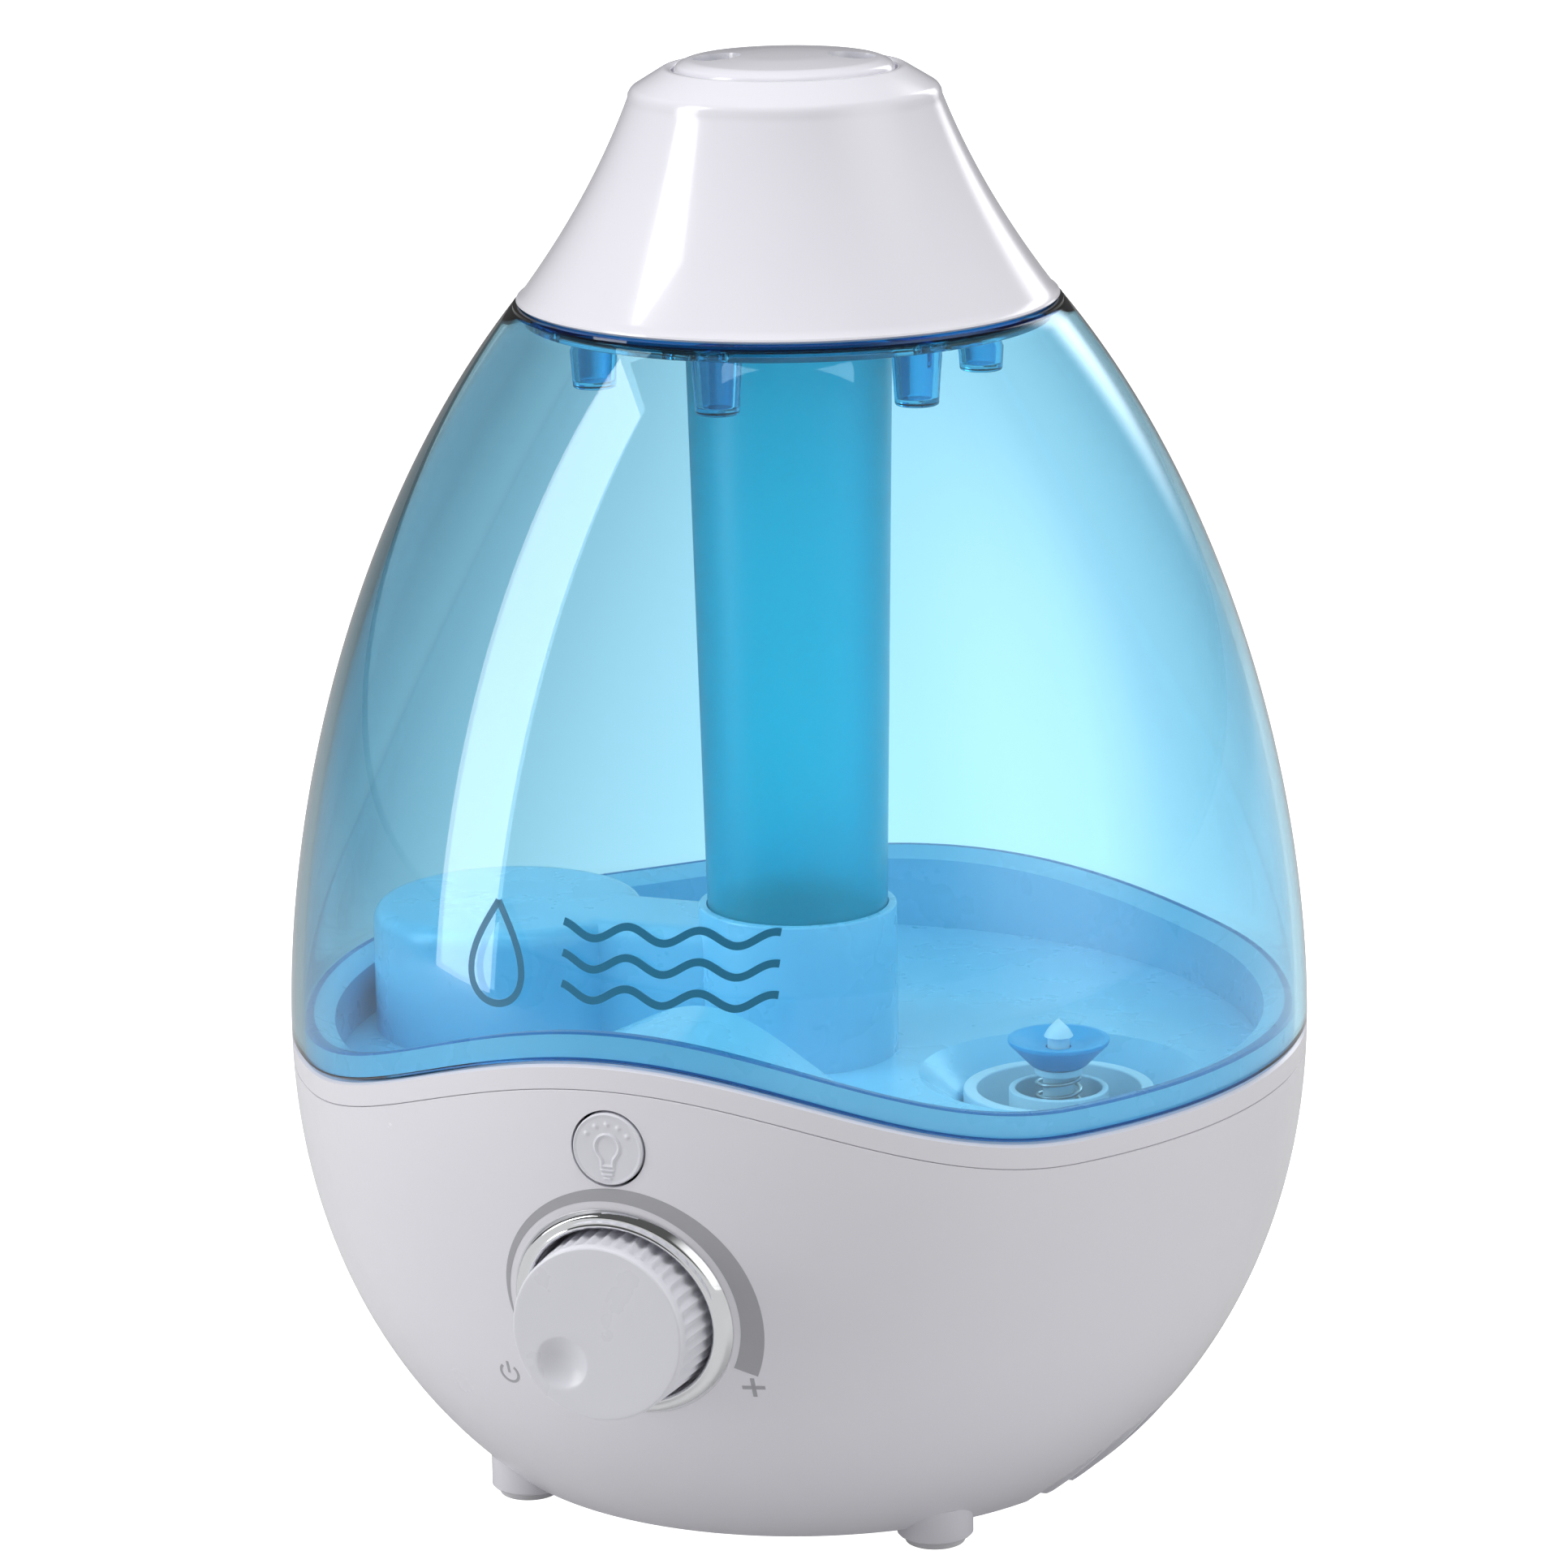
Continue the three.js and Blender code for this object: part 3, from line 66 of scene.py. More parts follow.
# ---- base housing --------------------------------------------------------------------------------------------------
# The round bowl the humidifier stands on: one glossy white injection moulding with a pocket for the knob, a hole for
# the button, two hand recesses with air slits, and four short posts for the feet.
BODY_R = 106.0
WIDEST_Z = 97.0
TANK_RISE = 185.8
BOWL_DROP = 114.7
AXIS_Y = 4.0
BOWL_FOOT_Z = 4.2
BOWL_WALL = 2.6
SEAM_Z = 95.7
BAND_H = 5.2
GAP = 0.3
LEDGE_Z = 6.8
LEDGE_TOP_Z = 9.2
KNOB_Z = 62.2
POCKET_R = 19.2
POCKET_FLOOR_Y = -90.3
BUTTON_Z = 97.5
BUTTON_R = 7.3
BACKING = 2.4
RECESS_TOP_Z = 20
RECESS_HALF_W = 34
RIB_PITCH = 9
RIB_W = 1.8
SLIT_W = 2.6
FOOT_CIRCLE_R = 63.5
WHITE_LIGHT = (0.86, 0.85, 0.9, 1)
WHITE_DARK = (0.81, 0.8, 0.86, 1)


def body_radius(z):
    """The body's outline: above its widest ring one blunt oval, r = R (1 - u^p)^(1/q), and below it another."""
    z = np.asarray(z, float)
    above = z > WIDEST_Z
    u = np.where(above, (z - WIDEST_Z) / TANK_RISE, (WIDEST_Z - z) / BOWL_DROP)
    return BODY_R * (1 - u ** np.where(above, 1.85, 2.1)) ** (1 / np.where(above, 1.75, 2.16))


def bell(angle, half):
    """A smooth hill, one at angle 0 and nothing past half: half of one plus the cosine."""
    return np.where(np.abs(angle) < half, 0.5 + 0.5 * np.cos(np.pi * angle / half), 0)


def seam_height(angle):
    """Height of the joint between base and tank: level, with a wave over the panel and a low one at the back."""
    return SEAM_Z + 18.5 * bell(angle, 51.5) + 4.5 * bell(180 - np.abs(angle), 45)


def rounded(corners, cuts, steps=4):
    """Softens an outline's corners. Each is cut back by its own length on both sides and bridged by a parabola.
    The last two axes are corner and (radius, height), so it rounds one outline or a whole ring of them."""
    p = np.asarray(corners, float)
    out = []
    for j, cut in enumerate(cuts):
        here, back, ahead = p[..., j, :], p[..., j - 1, :], p[..., (j + 1) % len(cuts), :]
        if not cut:
            out.append(here[..., None, :])
            continue
        u, v = back - here, ahead - here
        lu, lv = (np.linalg.norm(w, axis=-1, keepdims=True) for w in (u, v))
        c = np.minimum(cut, 0.45 * np.minimum(lu, lv))
        t = np.linspace(0, 1, steps + 1)[:, None]
        start, end = (here + u / lu * c)[..., None, :], (here + v / lv * c)[..., None, :]
        out.append((1 - t) ** 2 * start + 2 * t * (1 - t) * here[..., None, :] + t * t * end)
    return np.concatenate(out, axis=-2)


def grid_faces(n, m, closed):
    """Four-sided faces between neighbours of an n by m grid. Its columns close up, and so do its rows if asked."""
    i, j = np.meshgrid(np.arange(n if closed else n - 1), np.arange(m), indexing="ij")
    i2, j2 = (i + 1) % n, (j + 1) % m
    return np.stack([i * m + j, i * m + j2, i2 * m + j2, i2 * m + j], -1).reshape(-1, 4)


def ring(sections):
    """A closed ring round the body's axis: one outline of (radius, height) for each of its equal steps round."""
    n, m, _ = sections.shape
    a = np.radians(steps_round(n))[:, None]
    r, z = sections[..., 0], sections[..., 1]
    points = np.stack([r * np.sin(a), -r * np.cos(a), z], -1)
    return points.reshape(-1, 3), grid_faces(n, m, True)


def steps_round(n):
    """n equal angles from the back, round by -X, the front and +X."""
    return np.arange(n) * 360 / n - 180


def turned(outline, x=0.0, y=0.0, n=96):
    """An outline of (radius, height) turned about an upright line through x, y."""
    points, faces = ring(np.repeat(np.asarray(outline, float)[None], n, 0))
    return points + (x, y, 0), faces


def level_turned(outline, z, n=96):
    """An outline of (radius, y) turned about a level line through height z that points to the front."""
    r, y = np.asarray(outline, float).T
    a = (np.arange(n) * 2 * np.pi / n)[:, None]
    points = np.stack([r * np.cos(a), y + 0 * a, z + r * np.sin(a)], -1)
    return points.reshape(-1, 3), grid_faces(n, len(r), True)


def stack(loops):
    """A solid from a row of closed loops of points, each end closed by a fan to its middle."""
    loops = np.asarray(loops, float)
    ends = [np.repeat(loops[k].mean(0)[None, None], loops.shape[1], 1) for k in (0, -1)]
    rows = np.concatenate([ends[0], loops, ends[1]])
    return rows.reshape(-1, 3), grid_faces(len(rows), loops.shape[1], False)


def block(x, y, z):
    """A plain block between two numbers on each axis."""
    corners = [(x[0], y[0]), (x[1], y[0]), (x[1], y[1]), (x[0], y[1])]
    return stack([[(*c, h) for c in corners] for h in z])


def welded(points, faces):
    """Merges points that meet, makes triangles of faces that lost a corner, and drops those that lost two."""
    snapped = np.round(points * 1e4).astype(np.int64)
    _, first, back = np.unique(snapped, axis=0, return_index=True, return_inverse=True)
    faces = back.reshape(-1)[faces]
    same = faces == np.roll(faces, -1, 1)
    across = (faces[:, 0] == faces[:, 2]) | (faces[:, 1] == faces[:, 3])
    kept = [faces[(same.sum(1) == 0) & ~across]]
    for k in range(4):
        kept.append(np.delete(faces[same[:, k] & (same.sum(1) == 1) & ~across], k, 1))
    p = points[first]
    fans = [f[:, [0, k, k + 1]] for f in kept for k in range(1, f.shape[1] - 1)]
    a, b, c = (p[np.concatenate(fans)[:, k]] for k in range(3))
    turn = -1 if np.einsum("ij,ij->", a, np.cross(b, c)) < 0 else 1
    return p, [face for f in kept for face in f[:, ::turn].tolist()]


def solid(name, points, faces):
    """A mesh object at the origin, in metres, with its faces outwards."""
    p, faces = welded(np.asarray(points, float), faces)
    mesh = bpy.data.meshes.new(name)
    mesh.from_pydata(((p + (0, AXIS_Y, 0)) / 1000).tolist(), [], faces)
    obj = bpy.data.objects.new(name, mesh)
    bpy.context.scene.collection.objects.link(obj)
    return obj


def fused(obj, adds=(), cuts=()):
    """Joins shapes to a solid, then takes others away from it."""
    tools = [(solid("tool", *s), "UNION") for s in adds] + [(solid("tool", *s), "DIFFERENCE") for s in cuts]
    for tool, how in tools:
        m = obj.modifiers.new(how, "BOOLEAN")
        m.operation, m.object, m.solver = how, tool, "MANIFOLD"
    whole = obj.evaluated_get(bpy.context.evaluated_depsgraph_get())
    mesh = bpy.data.meshes.new_from_object(whole)
    mesh.name = obj.name
    obj.modifiers.clear()
    obj.data = mesh
    for tool, _ in tools:
        bpy.data.objects.remove(tool)
    return obj


def fitted(obj, look, body, node, crease=32):
    """Finishes a piece: smooth shading up to a crease angle, its material, its body and the node it stands for."""
    mesh = obj.data
    mesh.polygons.foreach_set("use_smooth", np.ones(len(mesh.polygons), bool))
    mesh.set_sharp_from_angle(angle=math.radians(crease))
    mesh.materials.clear()
    mesh.materials.append(look)
    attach(obj, body)
    if node:
        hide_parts(node)
    return obj


def grain_group():
    """The surface of moulded plastic. Colour drifts between two shades in slow clouds, gloss drifts in smaller ones,
    and the height is the mould's faint orange peel."""
    g = bpy.data.node_groups.new("mould_grain", "ShaderNodeTree")
    takes = {"Light": "Color", "Dark": "Color", "Smooth": "Float", "Rough": "Float", "Fineness": "Float"}
    for name, kind in takes.items():
        g.interface.new_socket(name, in_out="INPUT", socket_type="NodeSocket" + kind)
    for name, kind in (("Color", "Color"), ("Roughness", "Float"), ("Height", "Float")):
        g.interface.new_socket(name, in_out="OUTPUT", socket_type="NodeSocket" + kind)
    given, out = g.nodes.new("NodeGroupInput"), g.nodes.new("NodeGroupOutput")
    where = g.nodes.new("ShaderNodeTexCoord")
    clouds, patches, peel = (g.nodes.new("ShaderNodeTexNoise") for _ in range(3))
    clouds.inputs["Scale"].default_value = 14
    patches.inputs["Scale"].default_value = 70
    patches.inputs["Detail"].default_value = 4
    blend = g.nodes.new("ShaderNodeMix")
    blend.data_type = "RGBA"
    gloss = g.nodes.new("ShaderNodeMix")
    for noise in (clouds, patches, peel):
        g.links.new(where.outputs["Object"], noise.inputs["Vector"])
    g.links.new(given.outputs["Fineness"], peel.inputs["Scale"])
    g.links.new(clouds.outputs["Fac"], blend.inputs[0])
    g.links.new(given.outputs["Light"], blend.inputs[6])
    g.links.new(given.outputs["Dark"], blend.inputs[7])
    g.links.new(patches.outputs["Fac"], gloss.inputs[0])
    g.links.new(given.outputs["Smooth"], gloss.inputs[2])
    g.links.new(given.outputs["Rough"], gloss.inputs[3])
    g.links.new(blend.outputs[2], out.inputs["Color"])
    g.links.new(gloss.outputs[0], out.inputs["Roughness"])
    g.links.new(peel.outputs["Fac"], out.inputs["Height"])
    return g


GRAIN = grain_group()


def grained(name, light, dark, gloss, fineness=900, peel=0.00002, **constants):
    """A material on the mould grain: two shades, a range of roughness, the peel's fineness and its height in metres.
    The constants go straight onto the shader's own sockets."""
    m = bpy.data.materials.new(name)
    m.use_nodes = True
    nodes, links = m.node_tree.nodes, m.node_tree.links
    shader = nodes["Principled BSDF"]
    for key, value in constants.items():
        shader.inputs[key.replace("_", " ")].default_value = value
    grain = nodes.new("ShaderNodeGroup")
    grain.name = "grain"
    grain.node_tree = GRAIN
    settings = {"Light": light, "Dark": dark, "Smooth": gloss[0], "Rough": gloss[1], "Fineness": fineness}
    for key, value in settings.items():
        grain.inputs[key].default_value = value
    bump = nodes.new("ShaderNodeBump")
    bump.inputs["Distance"].default_value = peel
    bump.inputs["Strength"].default_value = 0.6
    links.new(grain.outputs["Color"], shader.inputs["Base Color"])
    links.new(grain.outputs["Roughness"], shader.inputs["Roughness"])
    links.new(grain.outputs["Height"], bump.inputs["Height"])
    links.new(bump.outputs["Normal"], shader.inputs["Normal"])
    return m


def side(z0, z1, inset, steps):
    """Points up the body's side between two heights, which may be arrays, drawn in by some distance."""
    z = np.asarray(z0, float)[..., None] + (np.asarray(z1, float) - z0)[..., None] * np.linspace(0, 1, steps + 1)
    return np.stack([body_radius(z) - inset, z], -1)


def corners(*pairs, n=None):
    """Corners of a section as (radius, height) pairs; either number may be an array of n, one for each step round."""
    shape = () if n is None else (n,)
    return np.stack([np.stack([np.broadcast_to(v, shape) for v in pair], -1) for pair in pairs], -2)


def hand_recess(extra, start, end):
    """Part of the flat slanting cut of a hand recess on the +X side, as a four-sided bar from one Y to another."""
    low, high = body_radius(8) - 6 - extra, body_radius(RECESS_TOP_Z) - 1 - extra
    slant = (high - low) * 0.4
    outline = [(low - slant, 3.2), (BODY_R, -0.8), (BODY_R, RECESS_TOP_Z), (high, RECESS_TOP_Z)]
    return stack([[(x, y, z) for x, z in outline] for y in (start, end)])


def turned_round(shape):
    """The same shape on the opposite side of the body."""
    return shape[0] * (-1, -1, 1), shape[1]


def plug(r, y0, y1, z, n=96):
    """A round plug on a level line that points to the front."""
    return level_turned([(0, y0), (r, y0), (r, y1), (0, y1)], z, n)


white_gloss = grained(
    "white_gloss_plastic", WHITE_LIGHT, WHITE_DARK, (0.2, 0.3), Coat_Weight=0.25, Coat_Roughness=0.06
)

AROUND = 288
seam = seam_height(steps_round(AROUND))
rim = seam - BAND_H - 0.12
bowl_section = np.concatenate(
    [
        side(BOWL_FOOT_Z + 0 * rim, rim - 0.15, 0, 60),
        corners((body_radius(rim) - 0.15, rim), (body_radius(rim) - BOWL_WALL, rim), n=AROUND),
        side(LEDGE_TOP_Z + 0 * rim, rim - 0.5, BOWL_WALL, 14)[:, ::-1],
        corners((50, LEDGE_TOP_Z), (50, LEDGE_Z), (56, LEDGE_Z), (56, BOWL_FOOT_Z), n=AROUND),
    ],
    axis=1,
)
inside_bowl = turned(np.vstack([[0, LEDGE_TOP_Z - 1], side(LEDGE_TOP_Z - 1, 99, 0.6, 40), [0, 99]]), n=128)
pocket_cup = plug(POCKET_R + BACKING, -100, POCKET_FLOOR_Y + BACKING, KNOB_Z)
foot_post = [(0, 1.7), (7.4, 1.7), (7.8, 2.1), (7.8, LEDGE_TOP_Z - 0.5), (0, LEDGE_TOP_Z - 0.5)]
foot_spots = [(FOOT_CIRCLE_R * math.cos(a), FOOT_CIRCLE_R * math.sin(a)) for a in np.radians([45, 135, 225, 315])]
slit_ys = [k * RIB_PITCH for k in range(-2, 3)]
rib_ys = [(k + 0.5) * RIB_PITCH for k in range(-3, 3)]
slits = [block((60, BODY_R), (y - SLIT_W / 2, y + SLIT_W / 2), (10, RECESS_TOP_Z - 1.5)) for y in slit_ys]
rib_faces = [-RECESS_HALF_W, *(y + s for y in rib_ys for s in (-RIB_W / 2, RIB_W / 2)), RECESS_HALF_W]
recesses = [hand_recess(0, *rib_faces[k : k + 2]) for k in range(0, len(rib_faces), 2)]
recess_back = hand_recess(BACKING, -RECESS_HALF_W - 1, RECESS_HALF_W + 1)
gland_hole = plug(4.5, 60, 120, 34, n=32)

housing = solid("Base_Housing_Bowl", *ring(bowl_section))
cup = fused(solid("cup", *pocket_cup))
backing = [fused(solid("backing", *s)) for s in (recess_back, turned_round(recess_back))]
for inner in (cup, *backing):
    meet = inner.modifiers.new("inside", "BOOLEAN")
    keep = solid("tool", *inside_bowl)
    meet.operation, meet.object, meet.solver = "INTERSECT", keep, "MANIFOLD"
    join = housing.modifiers.new("join", "BOOLEAN")
    join.operation, join.object, join.solver = "UNION", inner, "MANIFOLD"
fused(
    housing,
    adds=[turned(foot_post, *spot, n=40) for spot in foot_spots],
    cuts=[
        *recesses,
        *(turned_round(r) for r in recesses),
        *slits,
        *(turned_round(s) for s in slits),
        plug(POCKET_R, -150, POCKET_FLOOR_Y, KNOB_Z, n=128),
        plug(5.3, -100, -80, KNOB_Z, n=40),
        plug(BUTTON_R + 0.5, -150, -94, BUTTON_Z),
        gland_hole,
    ],
)
for spare in [o for o in bpy.data.objects if o.name.startswith(("tool", "cup", "backing"))]:
    bpy.data.objects.remove(spare)
fitted(housing, white_gloss, "base", "base_housing")

# ---- feet, bottom cover and its screws -----------------------------------------------------------------------------
# Soft pale rubber pads pressed into the posts, and a flat white cover held by four steel screws.
pad_rubber = grained(
    "pad_rubber", (0.78, 0.78, 0.8, 1), (0.7, 0.7, 0.73, 1), (0.55, 0.75), fineness=1800, peel=0.00005
)
screw_steel = grained(
    "screw_steel", (0.62, 0.62, 0.63, 1), (0.5, 0.5, 0.52, 1), (0.22, 0.4), fineness=3000, Metallic=1.0
)

for i, spot in enumerate(foot_spots):
    outline = rounded([(0, 0), (6.2, 0), (6.2, 1.4), (0, 1.4)], (0, 0.6, 0.3, 0))
    pad = solid(f"Foot_Pad_{i + 1}", *turned(outline, *spot, n=48))
    fitted(pad, pad_rubber, "base", f"foot_pad_{i + 1}")


def dressed(look, *nodes):
    """Puts a material on CAD nodes that show as they are."""
    for node in nodes:
        frame["nodes"][node].data.materials.clear()
        frame["nodes"][node].data.materials.append(look)


dressed(white_gloss, "base_cover")
dressed(screw_steel, "cover_screw_1", "cover_screw_2", "cover_screw_3", "cover_screw_4")

# ---- electronics in the base ---------------------------------------------------------------------------------------
# Green fibreglass boards with thin copper tracks under the lacquer, a wound transformer on its iron core, a black
# finned heat sink, the black cable gland, and the mist maker: a brass-faced crystal in a screwed aluminium ring.


def track_board():
    """Green lacquer over a fine grid of raised tracks: brick edges for the tracks, noise for the lacquer."""
    m = grained("circuit_board", (0.02, 0.16, 0.06, 1), (0.015, 0.12, 0.05, 1), (0.25, 0.4), fineness=2500)
    nodes, links = m.node_tree.nodes, m.node_tree.links
    where, tracks = nodes.new("ShaderNodeTexCoord"), nodes.new("ShaderNodeTexBrick")
    tracks.inputs["Scale"].default_value = 260
    tracks.inputs["Mortar Size"].default_value = 0.04
    tracks.inputs["Color1"].default_value = (0.02, 0.15, 0.06, 1)
    tracks.inputs["Color2"].default_value = (0.02, 0.19, 0.07, 1)
    tracks.inputs["Mortar"].default_value = (0.07, 0.3, 0.12, 1)
    links.new(where.outputs["Object"], tracks.inputs["Vector"])
    links.new(tracks.outputs["Color"], nodes["Principled BSDF"].inputs["Base Color"])
    return m


board_green = track_board()
black_plastic = grained("black_plastic", (0.03, 0.03, 0.033, 1), (0.018, 0.018, 0.02, 1), (0.35, 0.5), fineness=2200)
grey_plastic = grained("grey_plastic", (0.5, 0.51, 0.53, 1), (0.42, 0.43, 0.45, 1), (0.4, 0.55), fineness=1600)
cast_aluminium = grained("cast_aluminium", (0.7, 0.71, 0.72, 1), (0.58, 0.59, 0.6, 1), (0.3, 0.48), Metallic=1.0)
crystal_brass = grained("crystal_brass", (0.72, 0.55, 0.24, 1), (0.6, 0.44, 0.18, 1), (0.2, 0.35), Metallic=1.0)
dressed(board_green, "control_board", "driver_board", "power_board", "led_board")
dressed(black_plastic, "light_switch", "transformer", "cord_gland", "pot_body")
dressed(black_plastic, "fan_housing", "fan_rotor", "float_magnet", "reed_switch")
dressed(grey_plastic, "air_duct")
dressed(cast_aluminium, "transducer_holder", "heat_sink")
dressed(crystal_brass, "transducer_disc")
dressed(pad_rubber, "transducer_seal")
dressed(screw_steel, "pot_shaft")

# ---- chrome bezel --------------------------------------------------------------------------------------------------
# A bright chrome-plated ring that lies in a saddle on the curved panel, with a skirt down the pocket's wall.
BEZEL_IN_R = 19.3
BEZEL_W = 3.6
BEZEL_PROUD = 2.2

chrome = grained(
    "bezel_chrome", (0.86, 0.87, 0.88, 1), (0.8, 0.81, 0.82, 1), (0.03, 0.07), fineness=1500, peel=0.000004,
    Metallic=1.0,
)


def panel_y(x, z):
    """Where the body's skin is at the front: minus the square root of radius squared less x squared."""
    return -np.sqrt(body_radius(z) ** 2 - x * x)


def bezel_ring():
    """A rounded section of (distance out from the bore, height above the skin) carried round the knob's axis."""
    section = rounded(
        [
            (-0.1, -4.5), (-0.1, 1.5), (0.5, BEZEL_PROUD), (1.1, 1.9), (2.5, BEZEL_PROUD - 0.1),
            (BEZEL_W, 0.3), (BEZEL_W, -0.3), (0.2, -0.3), (0.2, -4.5),
        ],
        (0, 0.5, 0.5, 0.5, 0.8, 0.2, 0, 0, 0),
    )
    a = (np.arange(192) * 2 * np.pi / 192)[:, None]
    r = BEZEL_IN_R + section[:, 0]
    x, z = r * np.cos(a), KNOB_Z + r * np.sin(a)
    points = np.stack([x, panel_y(x, z) - section[:, 1], z], -1)
    return points.reshape(-1, 3), grid_faces(192, len(section), True)


fitted(solid("Knob_Chrome_Bezel", *bezel_ring()), chrome, "base", "knob_bezel")

# ---- mist knob -----------------------------------------------------------------------------------------------------
# A white knob pushed onto the shaft: flat satin face with a round finger dimple, forty soft flutes round its side.
KNOB_FACE_Y = -114.0
FLUTES = 40
DIMPLE_TURN = math.radians(222)


def knob_skin():
    """Rings from the face's middle out over the edge and back inside. The face sinks by a ball's cap at the dimple,
    and the side's radius goes in and out with the cosine of forty times the angle."""
    n = FLUTES * 10
    face_r = np.linspace(0, 17, 44)
    edge = np.array([(17.3, 0.04), (17.55, 0.2), (17.7, 0.45), (17.78, 0.9), (17.8, 2.2), (17.84, 2.9), (17.9, 3.8)])
    flank_y = np.linspace(6, 21, 8)
    outer = np.vstack([np.stack([face_r, 0 * face_r], -1), edge, np.stack([17.8 + flank_y * 0.038, flank_y], -1)])
    inner = np.array([(16.6, 21), (15.8, 3.6), (5, 3.6), (5, 21), (3.3, 21), (3.3, 5), (0, 5)])
    r, back = np.vstack([outer, inner]).T
    a = (np.arange(n) * 2 * np.pi / n)[:, None]
    cut = np.clip((back - 2.4) / 1.2, 0, 1) * (np.arange(len(r)) < len(outer))
    radius = r - 0.75 * cut * (0.5 - 0.5 * np.cos(FLUTES * a)) ** 0.8
    x, z = radius * np.cos(a), radius * np.sin(a)
    away = np.hypot(x - 10 * math.cos(DIMPLE_TURN), z - 10 * math.sin(DIMPLE_TURN))
    ball = (5.3**2 + 1.8**2) / 3.6
    sink = np.sqrt(np.maximum(ball**2 - away**2, 0)) - (ball - 1.8)
    sink = 0.5 * (sink + np.sqrt(sink**2 + 0.02)) * (away < 7) * (np.arange(len(r)) < len(face_r))
    points = np.stack([x, KNOB_FACE_Y + back + sink, KNOB_Z + z], -1)
    return points.reshape(-1, 3), grid_faces(n, len(r), True)


knob_white = grained("knob_white_plastic", (0.8, 0.8, 0.86, 1), (0.76, 0.76, 0.82, 1), (0.24, 0.34), peel=0.000012)
fitted(solid("Mist_Knob", *knob_skin()), knob_white, "knob", "mist_knob", crease=24)

# ---- light button --------------------------------------------------------------------------------------------------
# A round white push button with a raised picture moulded into it: a lamp, five rays as dots, and three short bars.


def lamp_relief(x, z):
    """Height of the picture: a rounded ridge along the outline of a lamp (a circle run into a narrow neck), and
    small domes and bars, each a smooth step of the distance to its own line."""
    bulb = np.hypot(x, z - 0.5) - 2.5
    neck = np.maximum(np.abs(x) - 1.15, np.abs(z + 2.1) - 1.3)
    lamp = -0.35 * np.log(np.exp(-bulb / 0.35) + np.exp(-neck / 0.35))
    height = np.exp(-((lamp / 0.26) ** 2))
    for a in np.radians([-52, -26, 0, 26, 52]):
        away = np.hypot(x - 5.4 * np.sin(a), z - 5.4 * np.cos(a) + 0.4)
        height = np.maximum(height, np.exp(-((away / 0.5) ** 2)))
    for level, half in ((-4.2, 1.2), (-5.1, 1.0), (-5.9, 0.6)):
        away = np.hypot(np.maximum(np.abs(x) - half, 0), z - level)
        height = np.maximum(height, np.exp(-((away / 0.24) ** 2)))
    return 0.34 * height


def button_skin():
    """Fine rings over the dished face, lifted by the picture, then the edge, the skirt and the peg behind."""
    n = 240
    face_r = np.linspace(0, 6.5, 66)
    edge = [(6.75, -0.12), (7.0, -0.16), (7.15, -0.02), (7.28, 0.3), (7.3, 0.8)]
    rest = np.array([*edge, (7.3, 6.4), (5.9, 6.4), (5.9, 2.4), (2, 2.4), (2, 13.9), (0, 13.9)])
    r, back = np.vstack([np.stack([face_r, 0 * face_r], -1), rest]).T
    a = (np.arange(n) * 2 * np.pi / n)[:, None]
    x, z = r * np.cos(a), r * np.sin(a)
    lift = lamp_relief(x, z) * (np.arange(len(r)) < len(face_r))
    points = np.stack([x, -body_radius(BUTTON_Z) - 0.2 + back - lift, BUTTON_Z + z], -1)
    return points.reshape(-1, 3), grid_faces(n, len(r), True)


fitted(solid("Light_Button", *button_skin()), knob_white, "button", "light_button", crease=40)

# ---- printed marks on the panel ------------------------------------------------------------------------------------
# Grey pad-printed ink: a crescent round the bezel that widens towards full mist, a power sign and a plus.
INK_LIFT = 0.05


def inked(name, path, width, look):
    """A line of ink on the body's front: a thin ribbon of its own width along a path of (x, height) points, with its
    face just above the skin and its back just under it."""
    p = np.asarray(path, float)
    along = np.gradient(p, axis=0)
    across = np.stack([-along[:, 1], along[:, 0]], -1) / np.linalg.norm(along, axis=1, keepdims=True)
    half = across * (np.broadcast_to(width, len(p)) / 2)[:, None]
    left, right = p - half, p + half
    steps = [left, left * 2 / 3 + right / 3, left / 3 + right * 2 / 3, right]
    loop = [(q, INK_LIFT) for q in steps] + [(q, -0.25) for q in steps[::-1]]
    loops = np.stack([np.stack([q[:, 0], panel_y(q[:, 0], q[:, 1]) - lift, q[:, 1]], -1) for q, lift in loop], 1)
    return solid(name, *stack(loops))


def arc(x, z, r, start, end, n=48):
    """Points of a circle's arc on the panel, from one angle to another in degrees from +X upwards."""
    a = np.radians(np.linspace(start, end, n))
    return np.stack([x + r * np.cos(a), z + r * np.sin(a)], -1)


def joined(name, parts):
    """Several solids made one piece."""
    meshes = [fused(p) for p in parts]
    points, faces, start = [], [], 0
    for obj in meshes:
        co = np.empty(len(obj.data.vertices) * 3, np.float32)
        obj.data.vertices.foreach_get("co", co)
        points.append(co.reshape(-1, 3))
        faces += [[v + start for v in f.vertices] for f in obj.data.polygons]
        start += len(obj.data.vertices)
        bpy.data.objects.remove(obj)
    mesh = bpy.data.meshes.new(name)
    mesh.from_pydata(np.concatenate(points).tolist(), [], faces)
    obj = bpy.data.objects.new(name, mesh)
    bpy.context.scene.collection.objects.link(obj)
    return obj


